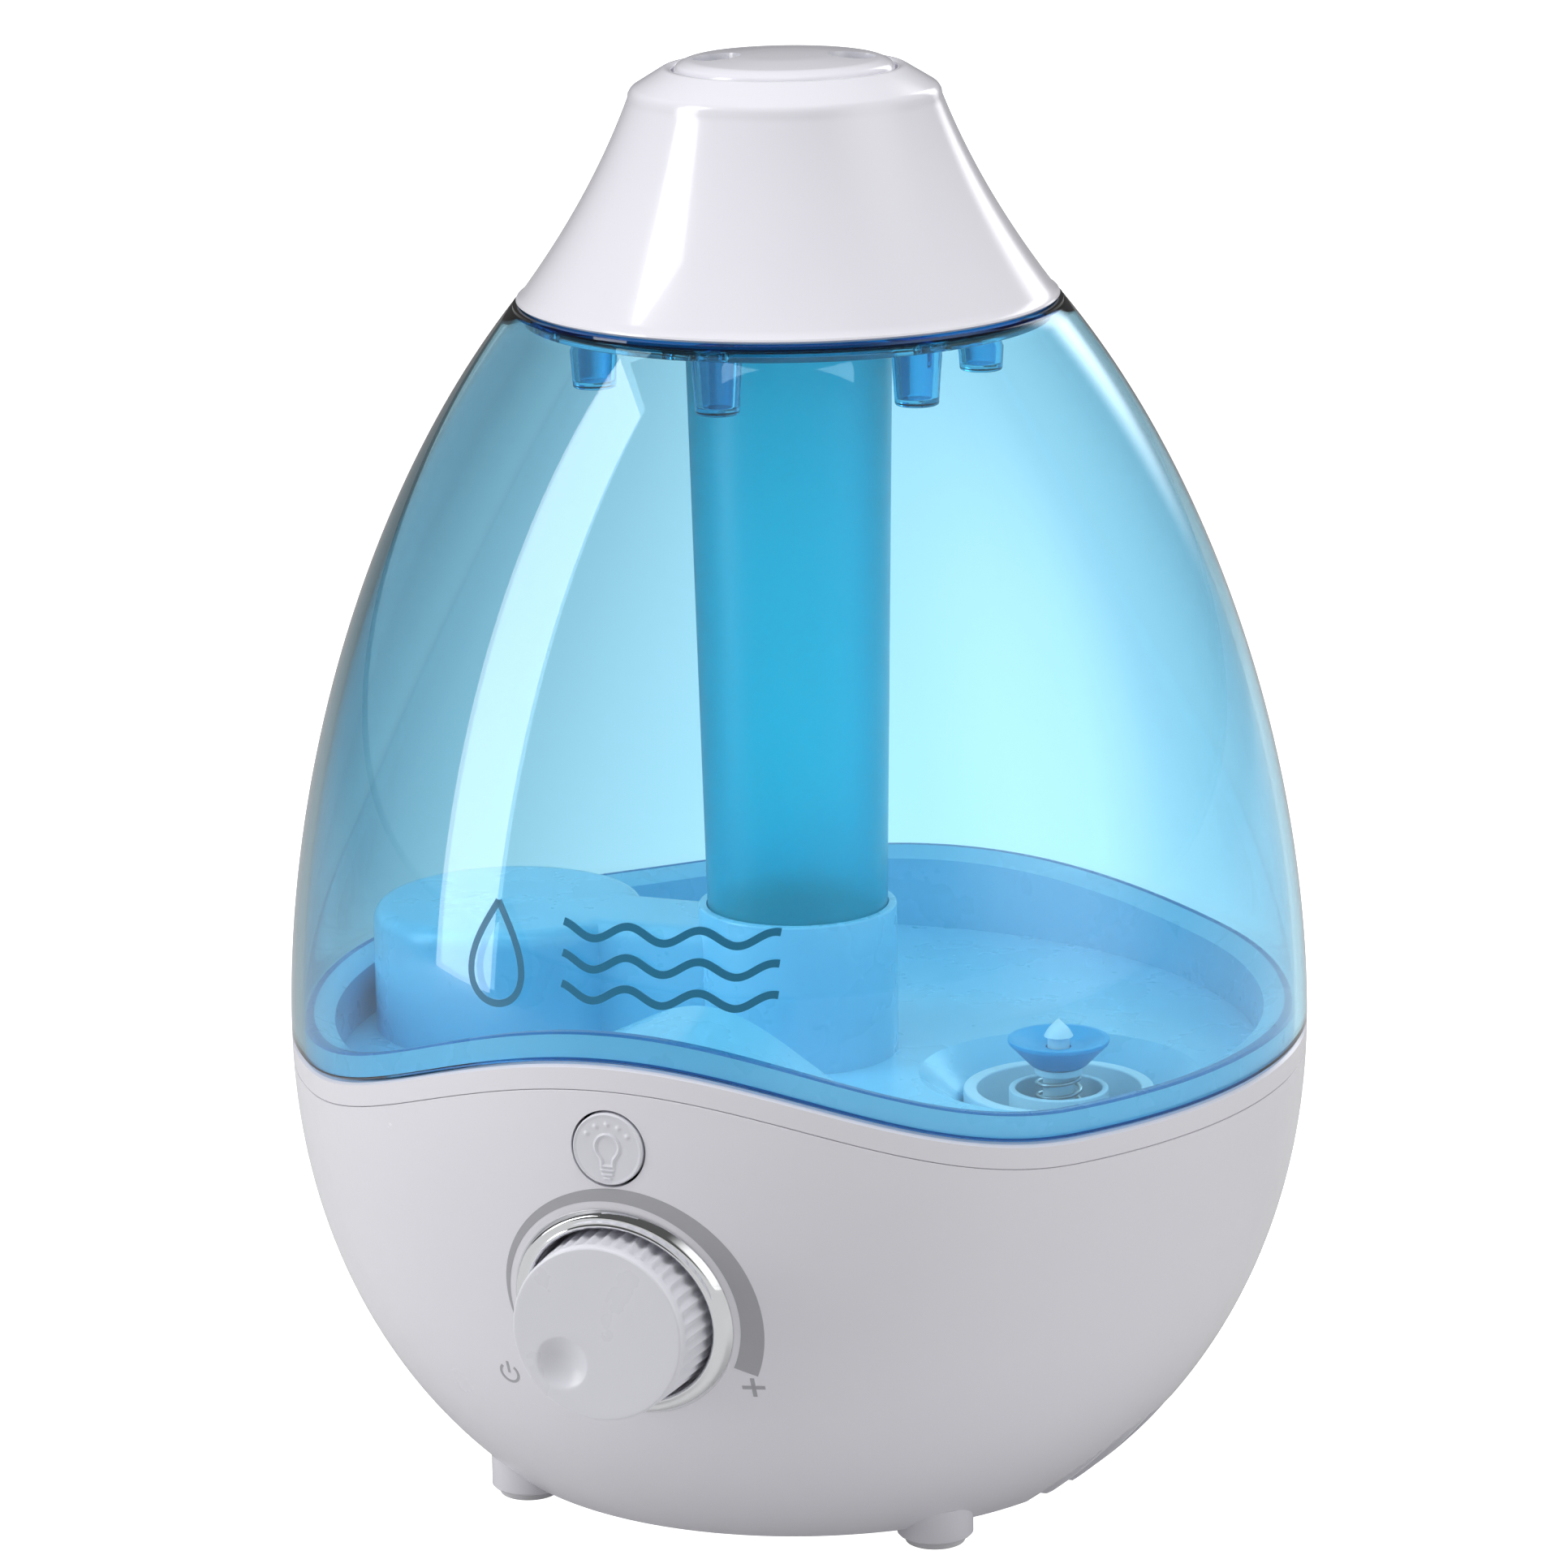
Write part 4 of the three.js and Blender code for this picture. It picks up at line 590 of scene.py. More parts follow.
ink_grey = grained("ink_grey", (0.45, 0.45, 0.48, 1), (0.41, 0.41, 0.44, 1), (0.4, 0.5), fineness=2600, peel=0.000008)
turns = np.linspace(195, -26, 120)
crescent_w = np.interp(-turns, [-195, -167, -109, -80, -28, 26], [0.15, 1.1, 2.2, 3.0, 4.0, 4.7])
crescent_r = 24.2 + crescent_w / 2
crescent = np.stack(
    [crescent_r * np.cos(np.radians(turns)), KNOB_Z + 0.3 + crescent_r * np.sin(np.radians(turns))], -1
)
marks = joined(
    "Panel_Print",
    [
        inked("crescent", crescent, crescent_w, ink_grey),
        inked("power_ring", arc(-28.5, 43.5, 2.1, 130, 410), 0.6, ink_grey),
        inked("power_bar", np.stack([np.full(6, -28.5), np.linspace(43.6, 46.4, 6)], -1), 0.6, ink_grey),
        inked("plus_level", np.stack([np.linspace(22.6, 27.0, 8), np.full(8, 47.2)], -1), 0.8, ink_grey),
        inked("plus_upright", np.stack([np.full(8, 24.8), np.linspace(45.0, 49.4, 8)], -1), 0.8, ink_grey),
    ],
)
fitted(marks, ink_grey, "base", None)

# ---- base deck -----------------------------------------------------------------------------------------------------
# The white lid of the base: its rim is the narrow band above the bowl, and it holds the valve pocket, the trough, the
# pool over the mist maker, the float's pocket, the air port and the round window of the night light.
DECK_OUT = BODY_R - BOWL_WALL - 1.2
DECK_IN = DECK_OUT - 2.2
DECK_TOP = 84.5
DECK_FOOT = 82.0
WELL_X = 57.0
POOL_X = -62.0
FLOAT_X = 6.0
FLOAT_Y = 20.0
WINDOW_Y = -38.0


def front_mass(near, far, half, foot, roof, n=48):
    """A mass over part of the front, between a level line and a radius, with a roof that may rise and fall."""
    angle = np.linspace(-half, half, n + 1)
    a = np.radians(angle)
    top = np.broadcast_to(roof(angle), a.shape)
    low, inner, outer = foot + 0 * a, near / np.cos(a), far + 0 * a
    corner = [(inner, low), (outer, low), (outer, top), (inner, top)]
    return stack(np.stack([np.stack([r * np.sin(a), -r * np.cos(a), z], -1) for r, z in corner], 1))


def hump(z):
    """The roof over the control panel: a level with the wave of the seam on it."""
    return lambda angle: z + 24 * bell(angle, 51.5)


def well(r, foot, top, soft=0.0, x=0.0, y=0.0, n=96):
    """A round plug with a softened lower edge, for a boss or a hole."""
    return turned(rounded([(0, foot), (r, foot), (r, top), (0, top)], (0, soft, 0, 0)), x, y, n)


def console_ceiling(angle):
    """Underside of the deck over the control panel: the hump less its wall, and never under the deck's own top."""
    return np.maximum(hump(DECK_TOP - 2.5)(angle), DECK_TOP - 1)


band = seam - BAND_H
band_edge = (body_radius(band + 0.15) - 0.15, band)
deck_rim = np.concatenate(
    [
        corners((DECK_IN, DECK_FOOT), (DECK_OUT, DECK_FOOT), (DECK_OUT, band), band_edge, n=AROUND),
        side(band + 0.15, seam - GAP - 0.5, 0, 6),
        corners((body_radius(seam) - 0.6, seam - GAP), (DECK_IN + 1.4, seam - GAP), (DECK_IN, seam - 2), n=AROUND),
    ],
    axis=1,
)
deck = fused(
    solid("Base_Deck", *ring(deck_rim)),
    adds=[
        well(DECK_IN + 0.5, DECK_FOOT, DECK_TOP, n=144),
        front_mass(57.6, DECK_IN + 0.5, 44, DECK_FOOT, hump(DECK_TOP)),
        well(31.2, 47.8, DECK_TOP, 3, WELL_X),
        well(18.7, 39.8, DECK_TOP, 2, POOL_X),
        well(14.7, 51.8, DECK_TOP, 2, FLOAT_X, FLOAT_Y),
        block((POOL_X, WELL_X), (-11.2, 11.2), (49.8, DECK_TOP)),
        block((-90.5, -81.5), (-9.5, 9.5), (DECK_FOOT, 90)),
    ],
    cuts=[
        front_mass(59.8, DECK_IN - 1.5, 42, DECK_FOOT - 1, console_ceiling),
        well(29, 50, 95, 2, WELL_X),
        well(16.5, 42, 95, 1, POOL_X),
        well(9, 35, 90, 0, POOL_X),
        well(12.5, 54, 95, 1, FLOAT_X, FLOAT_Y),
        block((POOL_X, WELL_X), (-9, 9), (52, 95)),
        block((-89, -83), (-8, 8), (DECK_FOOT - 1, 92)),
        well(7.3, DECK_FOOT - 1, 95, 0, 0, WINDOW_Y),
        front_mass(DECK_IN - 8, DECK_OUT + 1, 16, DECK_FOOT - 1, hump(DECK_TOP - 2.5)),
    ],
)
stem_post = well(4, 49, 61.7, 0, WELL_X, n=32)
float_pin = well(2.6, 53, 83.5, 0, FLOAT_X, FLOAT_Y, n=32)
deck = fused(deck, adds=[stem_post, float_pin])
fitted(deck, white_gloss, "base", "base_deck")

# ---- night light, float --------------------------------------------------------------------------------------------
# Two clear lamps shine through a blue window in the deck, and a blue foam-filled float rides on a pin in its pocket.


def clear_plastic(name, thin, thick, gloss, **constants):
    """Tinted clear plastic: paler where it is looked through squarely and deeper at its edges, where more plastic
    lies in the way. Light that only passes through to shade another piece goes on mostly unhindered."""
    m = grained(name, thin, thin, gloss, fineness=40, peel=0.000002, IOR=1.49, Transmission_Weight=1.0, **constants)
    nodes, links = m.node_tree.nodes, m.node_tree.links
    shader, grain = nodes["Principled BSDF"], nodes["grain"]
    edge, deepen = nodes.new("ShaderNodeLayerWeight"), nodes.new("ShaderNodeMix")
    deepen.data_type = "RGBA"
    deepen.inputs[7].default_value = thick
    edge.inputs["Blend"].default_value = 0.3
    rays, pass_on = nodes.new("ShaderNodeLightPath"), nodes.new("ShaderNodeMapRange")
    pass_on.inputs["To Min"].default_value = 1.0
    pass_on.inputs["To Max"].default_value = 0.2
    links.new(edge.outputs["Facing"], deepen.inputs[0])
    links.new(grain.outputs["Color"], deepen.inputs[6])
    links.new(deepen.outputs[2], shader.inputs["Base Color"])
    links.new(rays.outputs["Is Shadow Ray"], pass_on.inputs["Value"])
    links.new(pass_on.outputs["Result"], shader.inputs["Alpha"])
    return m


def painted_edge_shade(look, colour):
    """Gives a material a second colour for marked faces: painted shade along edges and joints of clear plastic."""
    nodes, links = look.node_tree.nodes, look.node_tree.links
    mark, mix, shader = nodes.new("ShaderNodeAttribute"), nodes.new("ShaderNodeMix"), nodes["Principled BSDF"]
    mark.attribute_name = "deep"
    mix.data_type = "RGBA"
    mix.inputs[7].default_value = colour
    links.new(mark.outputs["Fac"], mix.inputs[0])
    links.new(shader.inputs["Base Color"].links[0].from_socket, mix.inputs[6])
    links.new(mix.outputs[2], shader.inputs["Base Color"])


def mark_painted_shade(obj, test):
    """Marks the faces whose centre passes a test of radius, height and height over the seam, in millimetres."""
    centres = np.empty(3 * len(obj.data.polygons))
    obj.data.polygons.foreach_get("center", centres)
    x, y, z = (centres.reshape(-1, 3) * 1000 - (0, AXIS_Y, 0)).T
    over = z - seam_height(np.degrees(np.arctan2(x, -y)))
    marks = obj.data.attributes.new("deep", "FLOAT", "FACE")
    marks.data.foreach_set("value", test(np.hypot(x, y), z, over).astype(np.float32))


tank_blue = clear_plastic("tank_blue_clear", (0.62, 0.88, 0.97, 1), (0.0, 0.34, 0.56, 1), (0.012, 0.02))
lamp_clear = clear_plastic("lamp_clear", (0.95, 0.96, 0.97, 1), (0.8, 0.85, 0.9, 1), (0.02, 0.05))
float_blue = grained(
    "float_blue_plastic", (0.04, 0.3, 0.55, 1), (0.03, 0.25, 0.48, 1), (0.35, 0.5), fineness=1500
)
# Painted shade: deep navy on the tank wall's lip and foot; at the foot it is the shadow line in the gap over the
# deck.
painted_edge_shade(tank_blue, (0.0, 0.06, 0.26, 1))
dressed(tank_blue, "light_window")
dressed(lamp_clear, "led_left", "led_right")
dressed(float_blue, "water_float")

# ---- tank floor ----------------------------------------------------------------------------------------------------
# The tank's bottom, one milky moulding bonded inside the clear wall: a dished floor with the filling neck, the collar
# that takes the chimney, the domed chamber over the mist maker, and a wave that clears the control panel.
FLOOR_TOP = 88.0
FLOOR_UNDER = 86.0
DISH_R = DECK_IN - 0.6
DISH_IN = DISH_R - 2.4
HOOD_X = -66.0
RIM_H = 5.5
COLLAR_TOP = 119.6

milky_light, milky_dark = (0.27, 0.62, 0.84, 1), (0.22, 0.56, 0.78, 1)
milky = grained(
    "floor_milky_plastic", milky_light, milky_dark, (0.22, 0.34), Coat_Weight=0.2, Coat_Roughness=0.08
)
lip = seam + RIM_H
rim_section = np.concatenate(
    [
        corners((DISH_IN, FLOOR_UNDER), (DISH_R, FLOOR_UNDER), (DISH_R, seam + GAP), n=AROUND),
        side(seam + GAP, lip - 0.4, 2.7, 6),
        corners((body_radius(lip) - 3.2, lip), (body_radius(lip) - 4.7, lip), (DISH_IN, seam + 3.3), n=AROUND),
    ],
    axis=1,
)


def hood(r, half, foot, top, soft, x0=HOOD_X, x1=0.0):
    """The mist chamber: a round tower run into a straight passage to the middle, with a softened top edge."""
    tower = turned(rounded([(0, foot), (r, foot), (r, top), (0, top)], (0, 0, soft, 0), 6), HOOD_X, 0)
    edge = rounded([(-half, foot), (half, foot), (half, top), (-half, top)], (0, 0, soft, soft), 6)
    return tower, stack([[(x, y, z) for y, z in edge] for x in (x0, x1)])


hood_skin = hood(29, 12.5, FLOOR_UNDER, 115, 4)
hood_room = hood(27, 10.5, 81, 113, 3, HOOD_X, -12)
neck_corners = [
    (0, 74), (22.4, 74), (22.4, 80.5), (28.2, 84.7), (30.5, FLOOR_UNDER), (30.5, FLOOR_TOP), (0, FLOOR_TOP),
]
neck_out = rounded(neck_corners, (0, 0.4, 1, 1, 0, 0, 0))
bore_corners = [(0, 69), (20.2, 69), (20.2, 81.5), (26.5, 86.5), (29.2, FLOOR_TOP + 0.2), (29.2, 96), (0, 96)]
neck_in = rounded(bore_corners, (0, 0, 2, 1.5, 0, 0, 0))


def panel_clearance(angle):
    """Roof of the space left free over the panel: under the floor's hump, and at least 1 mm below the seam."""
    return np.minimum(hump(FLOOR_UNDER)(angle), seam_height(angle) - 1)


tank_floor = fused(
    solid("Tank_Floor", *ring(rim_section)),
    adds=[
        well(DISH_IN + 0.5, FLOOR_UNDER, FLOOR_TOP, n=144),
        front_mass(54, DISH_IN + 0.5, 48, FLOOR_UNDER, hump(FLOOR_TOP)),
        turned(rounded([(0, FLOOR_UNDER), (20.7, FLOOR_UNDER), (20.7, COLLAR_TOP), (0, COLLAR_TOP)], (0, 0, 0.5, 0))),
        *hood_skin,
        turned(neck_out, WELL_X),
    ],
    cuts=[
        front_mass(56.1, BODY_R, 45.6, 81, panel_clearance),
        *hood_room,
        well(17.3, 81, 125),
        well(19.1, 112, 125),
        turned(neck_in, WELL_X),
    ],
)
# Painted shadow: a dark blue line along the top of the floor's rim, where it meets the clear wall.
painted_edge_shade(milky, (0.01, 0.16, 0.42, 1))
mark_painted_shade(tank_floor, lambda r, z, over: (over > RIM_H - 0.3) & (over < RIM_H + 0.2) & (r > DISH_IN - 6))
fitted(tank_floor, milky, "tank", "tank_floor", crease=28)

# ---- filling cap and water valve -----------------------------------------------------------------------------------
# A white screw cap with an open tube in its middle. The valve's stem slides in the tube with a soft blue cone on its
# head that shuts the tube when the tank is lifted, and a steel spring round the stem.
valve_white = grained("valve_white_plastic", (0.66, 0.83, 0.92, 1), (0.6, 0.78, 0.88, 1), (0.25, 0.38))
seal_blue = grained("seal_blue_silicone", (0.01, 0.4, 0.72, 1), (0.008, 0.34, 0.64, 1), (0.3, 0.42), peel=0.00003)
cap_corners = [
    (0, 70), (16.9, 70), (16.9, 68.5), (26, 68.5), (26, 71.6), (19.7, 71.6), (19.7, 84.8), (16.9, 84.8),
    (16.9, 72.5), (10.3, 72.5), (10.3, 84.7), (8.9, 84.7), (8.9, 72.5), (0, 72.5),
]
cap_outline = rounded(cap_corners, (0, 0, 0.3, 0.6, 0.6, 0.4, 0.5, 0.5, 1, 1, 0.4, 0.4, 0.8, 0))


def holes(r, top, circle, angles):
    """Round plugs on a circle round the well's axis, at angles in degrees from +X."""
    spots = [(WELL_X + circle * math.cos(a), circle * math.sin(a)) for a in np.radians(angles)]
    return [well(r, 66, top, 0, *spot, n=24) for spot in spots]


notches = holes(2.2, 90, 26.6, 45 * np.arange(8))
drains = holes(1.9, 74, 6.4, [60, 180, 300])
stem_hole = well(3.6, 66, 74, 0, WELL_X, n=40)
fill_cap = fused(solid("Fill_Cap", *turned(cap_outline, WELL_X)), cuts=[*notches, *drains, stem_hole])
fitted(fill_cap, valve_white, "filler", "fill_cap")
dressed(pad_rubber, "fill_cap_gasket")

stem_corners = [
    (0, 62), (3.3, 62), (3.3, 87.7), (5, 87.7), (5, 89.2), (2.3, 89.2), (2.3, 95.6), (3.1, 95.6),
    (2.2, 97.2), (0, 99.4),
]
stem = turned(rounded(stem_corners, (0, 0.4, 0.2, 0.3, 0.2, 0, 0, 0.2, 0.6, 0)), WELL_X, n=48)
fitted(solid("Valve_Stem", *stem), valve_white, "valve", "valve_stem")
cone_corners = [(2.6, 89.5), (5.7, 89.5), (10.5, 94.4), (10.5, 95.2), (9.6, 95.2), (5.5, 93.4), (2.6, 93.4)]
cone = turned(rounded(cone_corners, (0, 0.5, 0.3, 0.2, 0.3, 1, 0)), WELL_X)
fitted(solid("Valve_Seal", *cone), seal_blue, "valve", "valve_seal")


def spring_wire(r, wire, z0, z1, coils):
    """A round wire carried along a helix: at each step a circle in the plane of the axis and the radius."""
    t = np.linspace(0, 1, coils * 40)[:, None]
    b = (np.arange(10) * 2 * np.pi / 10)[None]
    a = 2 * np.pi * coils * t
    out = r + wire * np.cos(b)
    return stack(np.stack([WELL_X + out * np.cos(a), out * np.sin(a), z0 + (z1 - z0) * t + wire * np.sin(b)], -1))


spring = solid("Valve_Spring", *spring_wire(4.5, 0.4, 73.3, 86.9, 5))
fitted(spring, screw_steel, "filler", "valve_spring")
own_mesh(spring)

# ---- chimney -------------------------------------------------------------------------------------------------------
# The tube that carries mist up through the water: deep blue clear plastic with a satin outside, wider at the top.
tube_blue = clear_plastic("tube_blue_satin", (0.03, 0.84, 0.98, 1), (0.0, 0.5, 0.82, 1), (0.26, 0.34))
tube_blue.node_tree.nodes["Principled BSDF"].inputs["Transmission Weight"].default_value = 0.82
tube_corners = [(17, 112.3), (18.8, 112.3), (18.8, COLLAR_TOP), (21.4, 250), (19.6, 250)]
tube_outline = rounded(tube_corners, (0, 0.3, 0, 0.4, 0.4))
fitted(solid("Mist_Chimney", *turned(tube_outline, n=128)), tube_blue, "tank", "mist_chimney")

# ---- clear tank ----------------------------------------------------------------------------------------------------
# The teardrop wall of the tank, blown clear in pale blue plastic, open at the top where a lip takes the cap.
TANK_TOP = 247.1

foot = seam + GAP
lip_r = body_radius(TANK_TOP)
tank_section = np.concatenate(
    [
        side(foot + 0.4, TANK_TOP - 1 + 0 * foot, 0, 64),
        corners((lip_r + 0.3, TANK_TOP - 0.7), (lip_r + 0.2, TANK_TOP - 0.2), (lip_r - 0.3, TANK_TOP), n=AROUND),
        corners((lip_r - 1.9, TANK_TOP), (lip_r - 2.3, TANK_TOP - 0.4), n=AROUND),
        side(foot + 0.4, TANK_TOP - 1.5 + 0 * foot, 2.4, 64)[:, ::-1],
        corners((body_radius(foot) - 2.1, foot), (body_radius(foot) - 0.4, foot), n=AROUND),
    ],
    axis=1,
)
tank_wall = solid("Tank_Wall", *ring(tank_section))
# Marks the wall's lip and foot for the painted shade.
mark_painted_shade(tank_wall, lambda r, z, over: (z > TANK_TOP - 0.9) | (over < 0.6))
fitted(tank_wall, tank_blue, "tank", "tank_shell")

# ---- top plate of the tank -----------------------------------------------------------------------------------------
# A flat clear ring bonded under the lip, with six tapering sockets that hang into the tank round the chimney.
edge_r = float(body_radius(245.0)) - 2.9
sockets = [(40 * math.cos(a), 40 * math.sin(a)) for a in np.radians(60 * np.arange(6) - 90)]
socket_out = rounded([(0, 230), (4.4, 230), (5.3, 244.5), (0, 244.5)], (0, 0.6, 0, 0))
socket_in = rounded([(0, 231.4), (3.0, 231.4), (3.9, 247), (0, 247)], (0, 0.4, 0, 0))
plate_outline = rounded([(21.8, 243.1), (edge_r, 243.1), (edge_r, 245), (21.8, 245)], (0.3, 0.3, 0.3, 0.3))
plate = fused(
    solid("Tank_Top_Plate", *turned(plate_outline, n=160)),
    adds=[turned(socket_out, *s, n=48) for s in sockets],
    cuts=[turned(socket_in, *s, n=48) for s in sockets],
)
plate_blue = clear_plastic("plate_blue_clear", (0.2, 0.66, 0.88, 1), (0.0, 0.25, 0.6, 1), (0.02, 0.05))
fitted(plate, plate_blue, "tank", "tank_top_plate")

# ---- printed picture on the tank -----------------------------------------------------------------------------------
# Blue screen print low on the front of the tank: a water drop beside three waves, which stand for water and mist.
ink_blue = grained(
    "ink_tank_blue", (0.02, 0.2, 0.36, 1), (0.015, 0.17, 0.32, 1), (0.3, 0.4), fineness=2600, peel=0.000008
)


def drop(x, z, size, n=64):
    """The outline of a drop: a circle's round foot drawn up to a point by the sine of half the angle."""
    a = np.linspace(0, 2 * np.pi, n)
    return np.stack([x + size * np.sin(a) * np.abs(np.sin(a / 2)) ** 1.2, z + size * 1.25 * np.cos(a)], -1)


wave_x = np.linspace(-10, 33, 80)
wave_z = 1.4 * np.sin(wave_x * 2 * np.pi / 14.3)
waves = [inked(f"wave_{z}", np.stack([wave_x, z + wave_z], -1), 1.5, ink_blue) for z in (128, 134, 140)]
picture = joined("Tank_Print", [inked("drop", drop(-25, 133.5, 8), 1.4, ink_blue), *waves])
fitted(picture, ink_blue, "tank", None)

# ---- mist cap ------------------------------------------------------------------------------------------------------
# A white hollow cap that drops over the tank's mouth: waisted side, a crease and bevel at the top, a sleeve inside.
CAP_FOOT = (54.5, 248.6)
CAP_SHOULDER = (31.1, 290.5)
CAP_BOW = 2.0

cap_light, cap_dark = (0.85, 0.84, 0.9, 1), (0.8, 0.79, 0.86, 1)
cap_white = grained(
    "cap_white_plastic", cap_light, cap_dark, (0.14, 0.22), Coat_Weight=0.4, Coat_Roughness=0.04
)


def cap_side(inset, steps):
    """The cap's side: a straight line from foot to shoulder drawn in by a shallow parabola."""
    t = np.linspace(0, 1, steps + 1)
    r = CAP_FOOT[0] + (CAP_SHOULDER[0] - CAP_FOOT[0]) * t - 4 * CAP_BOW * t * (1 - t)
    return np.stack([r - inset, CAP_FOOT[1] + (CAP_SHOULDER[1] - CAP_FOOT[1]) * t], -1)


cap_rim = [(31.75, 289.4), CAP_SHOULDER, (24.4, 294.6), (22.9, 294.2), (22.9, 277.3), (20.7, 277.3)]
cap_path = np.vstack(
    [
        [(50.9, 245.3), (50.9, 247.4), (55.0, 247.4), (55.4, 247.8), (55.2, 248.2)],
        cap_side(0, 40)[:-2],
        rounded(cap_rim, (0, 1.1, 0.7, 0.5, 0.2, 0.2)),
        [(20.7, 275.3), (22.3, 275.3), (22.3, 248), (24.3, 248), (24.9, 285.5)],
        cap_side(2.4, 20)[::-1][1:],
        [(48.5, 245.3)],
    ]
)
fitted(solid("Mist_Cap", *turned(cap_path, n=160)), cap_white, "cap", "mist_cap", crease=30)

# ---- nozzle --------------------------------------------------------------------------------------------------------
# A round white lid that turns in the cap's sleeve, slightly domed, with two round outlets through it.
lid_corners = [
    (0, 297), (10, 296.75), (19.9, 296), (21.9, 295), (22.5, 293.6), (22.5, 277.6), (20.7, 277.6),
    (20.7, 292), (0, 293.4),
]
lid_outline = rounded(lid_corners, (0, 2, 1.5, 0.8, 0.4, 0.2, 0.2, 1, 0))
outlets = [(13.8 * math.cos(a), 13.8 * math.sin(a)) for a in np.radians([20, 200])]
bore = rounded([(0, 288), (4.8, 288), (4.8, 295.2), (5.6, 300), (0, 300)], (0, 0, 0.8, 0, 0))
nozzle = fused(solid("Mist_Nozzle", *turned(lid_outline, n=128)), cuts=[turned(bore, *o, n=48) for o in outlets])
fitted(nozzle, cap_white, "nozzle", "mist_nozzle")

# ---- studio --------------------------------------------------------------------------------------------------------
# A wide white floor under a white sky, a tall soft box at the left, feathered ones behind and at the right, one above
# that shows in no mirror image, and the camera.
CAMERA_TURN = math.radians(20.8)
CAMERA_RISE = math.radians(14.0)
CAMERA_ROLL = math.radians(-0.92)
CAMERA_DISTANCE = 1.3
LOOK_AT = Vector((0, 0.004, 0.150))


def stage_white():
    """White paper. Seen directly it is plain white. Through clear plastic it is dim at the left and bright at the
    right, and it adds a little glow to what stands on it."""
    m = bpy.data.materials.new("stage_white")
    m.use_nodes = True
    nodes, links = m.node_tree.nodes, m.node_tree.links
    shader = nodes["Principled BSDF"]
    shader.inputs["Base Color"].default_value = (0.55, 0.55, 0.55, 1)
    shader.inputs["Roughness"].default_value = 0.9
    shader.inputs["Emission Color"].default_value = (1, 1, 1, 1)
    where, turn, split = (nodes.new("ShaderNode" + k) for k in ("TexCoord", "Mapping", "SeparateXYZ"))
    turn.inputs["Rotation"].default_value[2] = -CAMERA_TURN
    across = nodes.new("ShaderNodeMapRange")
    across.inputs["From Min"].default_value = -0.2
    across.inputs["From Max"].default_value = 0.02
    across.inputs["To Min"].default_value = 0.08
    across.inputs["To Max"].default_value = 0.9
    rays, quiet, plain = (nodes.new("ShaderNode" + k) for k in ("LightPath", "Mix", "Mix"))
    quiet.inputs[2].default_value = 0.12
    plain.inputs[3].default_value = 1.3
    links.new(where.outputs["Object"], turn.inputs["Vector"])
    links.new(turn.outputs["Vector"], split.inputs["Vector"])
    links.new(split.outputs["X"], across.inputs["Value"])
    links.new(rays.outputs["Is Transmission Ray"], quiet.inputs[0])
    links.new(across.outputs["Result"], quiet.inputs[3])
    links.new(rays.outputs["Is Camera Ray"], plain.inputs[0])
    links.new(quiet.outputs[0], plain.inputs[2])
    links.new(plain.outputs[0], shader.inputs["Emission Strength"])
    return m


floor_mesh = bpy.data.meshes.new("Studio_Floor")
floor_mesh.from_pydata([(-9, -9, 0), (9, -9, 0), (9, 9, 0), (-9, 9, 0)], [], [(0, 1, 2, 3)])
floor_mesh.materials.append(stage_white())
studio_floor = bpy.data.objects.new("Studio_Floor", floor_mesh)
bpy.context.scene.collection.objects.link(studio_floor)


def soft_box(name, turn, distance, height, size, power, look_z=0.14):
    """A rectangular area light at an angle round the object, facing its middle."""
    lamp = bpy.data.lights.new(name, "AREA")
    lamp.shape, lamp.size, lamp.size_y, lamp.energy = "RECTANGLE", size[0], size[1], power
    obj = bpy.data.objects.new(name, lamp)
    a = math.radians(turn)
    obj.location = (distance * math.sin(a), -distance * math.cos(a), height)
    obj.rotation_euler = (Vector((0, 0, look_z)) - obj.location).to_track_quat("-Z", "Y").to_euler()
    bpy.context.scene.collection.objects.link(obj)
    return obj


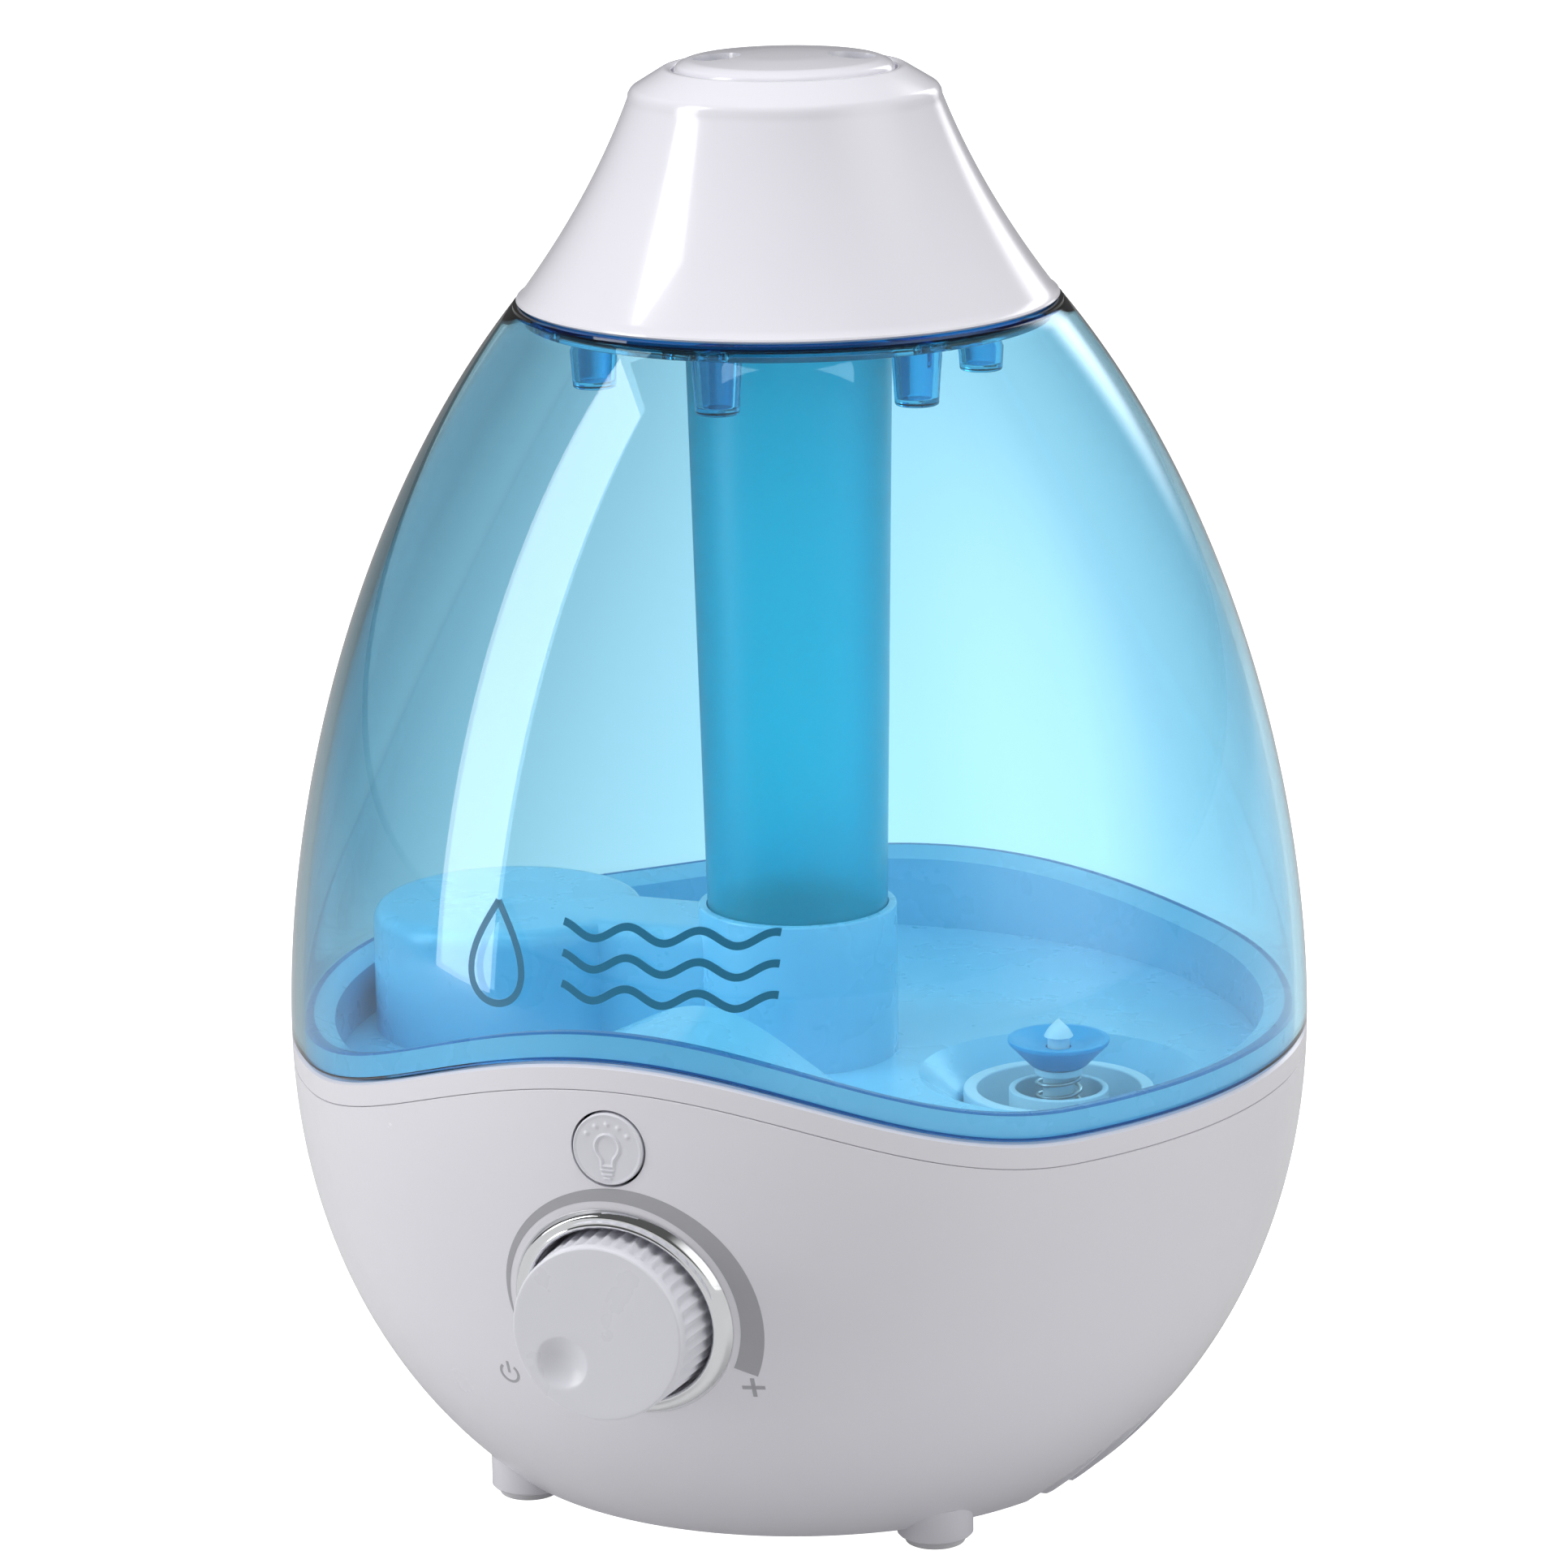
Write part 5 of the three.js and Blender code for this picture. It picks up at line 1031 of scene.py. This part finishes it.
def feathered(box):
    """Fades a light from its middle to its edges by a smooth step of the distance, so its mirror image has no rim."""
    box.data.use_nodes = True
    nodes, links = box.data.node_tree.nodes, box.data.node_tree.links
    kinds = ("NewGeometry", "VectorMath", "VectorMath", "MapRange")
    spot, centre, away, fade = (nodes.new("ShaderNode" + k) for k in kinds)
    centre.operation, away.operation, fade.interpolation_type = "SUBTRACT", "LENGTH", "SMOOTHERSTEP"
    centre.inputs[1].default_value = (0.5, 0.5, 0)
    fade.inputs["From Min"].default_value, fade.inputs["From Max"].default_value = 0.5, 0.0
    fade.inputs["To Min"].default_value, fade.inputs["To Max"].default_value = 0.0, 2.4
    links.new(spot.outputs["Parametric"], centre.inputs[0])
    links.new(centre.outputs["Vector"], away.inputs[0])
    links.new(away.outputs["Value"], fade.inputs["Value"])
    links.new(fade.outputs["Result"], nodes["Emission"].inputs["Strength"])


soft_box("Left_Box", -57, 1.3, 0.62, (0.42, 1.5), 10)
feathered(soft_box("Rear_Box", 166, 1.4, 0.75, (0.7, 1.5), 5))
feathered(soft_box("Right_Fill", 84, 1.3, 0.5, (2.2, 2.4), 10))
soft_box("Top_Box", 20, 0.2, 1.6, (1.0, 1.0), 14).visible_glossy = False

sky = bpy.data.worlds.new("Studio_Sky")
sky.use_nodes = True
sky_nodes, sky_links = sky.node_tree.nodes, sky.node_tree.links
paint = sky_nodes["Background"]
sky_rays = sky_nodes.new("ShaderNodeLightPath")
shown, mirrored, through = (sky_nodes.new("ShaderNodeMix") for _ in range(3))
through.inputs[3].default_value = 0.95
mirrored.inputs[2].default_value = 0.24
mirrored.inputs[3].default_value = 0.1
shown.inputs[3].default_value = 1.3
paint.inputs["Color"].default_value = (1, 1, 1, 1)
sky_links.new(sky_rays.outputs["Is Glossy Ray"], mirrored.inputs[0])
sky_links.new(sky_rays.outputs["Is Camera Ray"], shown.inputs[0])
sky_links.new(sky_rays.outputs["Is Transmission Ray"], through.inputs[0])
sky_links.new(mirrored.outputs[0], through.inputs[2])
sky_links.new(through.outputs[0], shown.inputs[2])
sky_links.new(shown.outputs[0], paint.inputs["Strength"])
bpy.context.scene.world = sky
bpy.context.scene.view_settings.view_transform = "Standard"

level = math.cos(CAMERA_RISE)
back = Vector((math.sin(CAMERA_TURN) * level, -math.cos(CAMERA_TURN) * level, math.sin(CAMERA_RISE)))
camera = bpy.data.objects.new("Camera", bpy.data.cameras.new("Camera"))
camera.data.sensor_width = 36
camera.data.lens = 143.97
camera.data.shift_x = -0.00725
camera.data.shift_y = -0.0153
camera.matrix_world = (
    Matrix.Translation(LOOK_AT + back * CAMERA_DISTANCE)
    @ back.to_track_quat("Z", "Y").to_matrix().to_4x4()
    @ Matrix.Rotation(CAMERA_ROLL, 4, "Z")
)
bpy.context.scene.collection.objects.link(camera)
bpy.context.scene.camera = camera
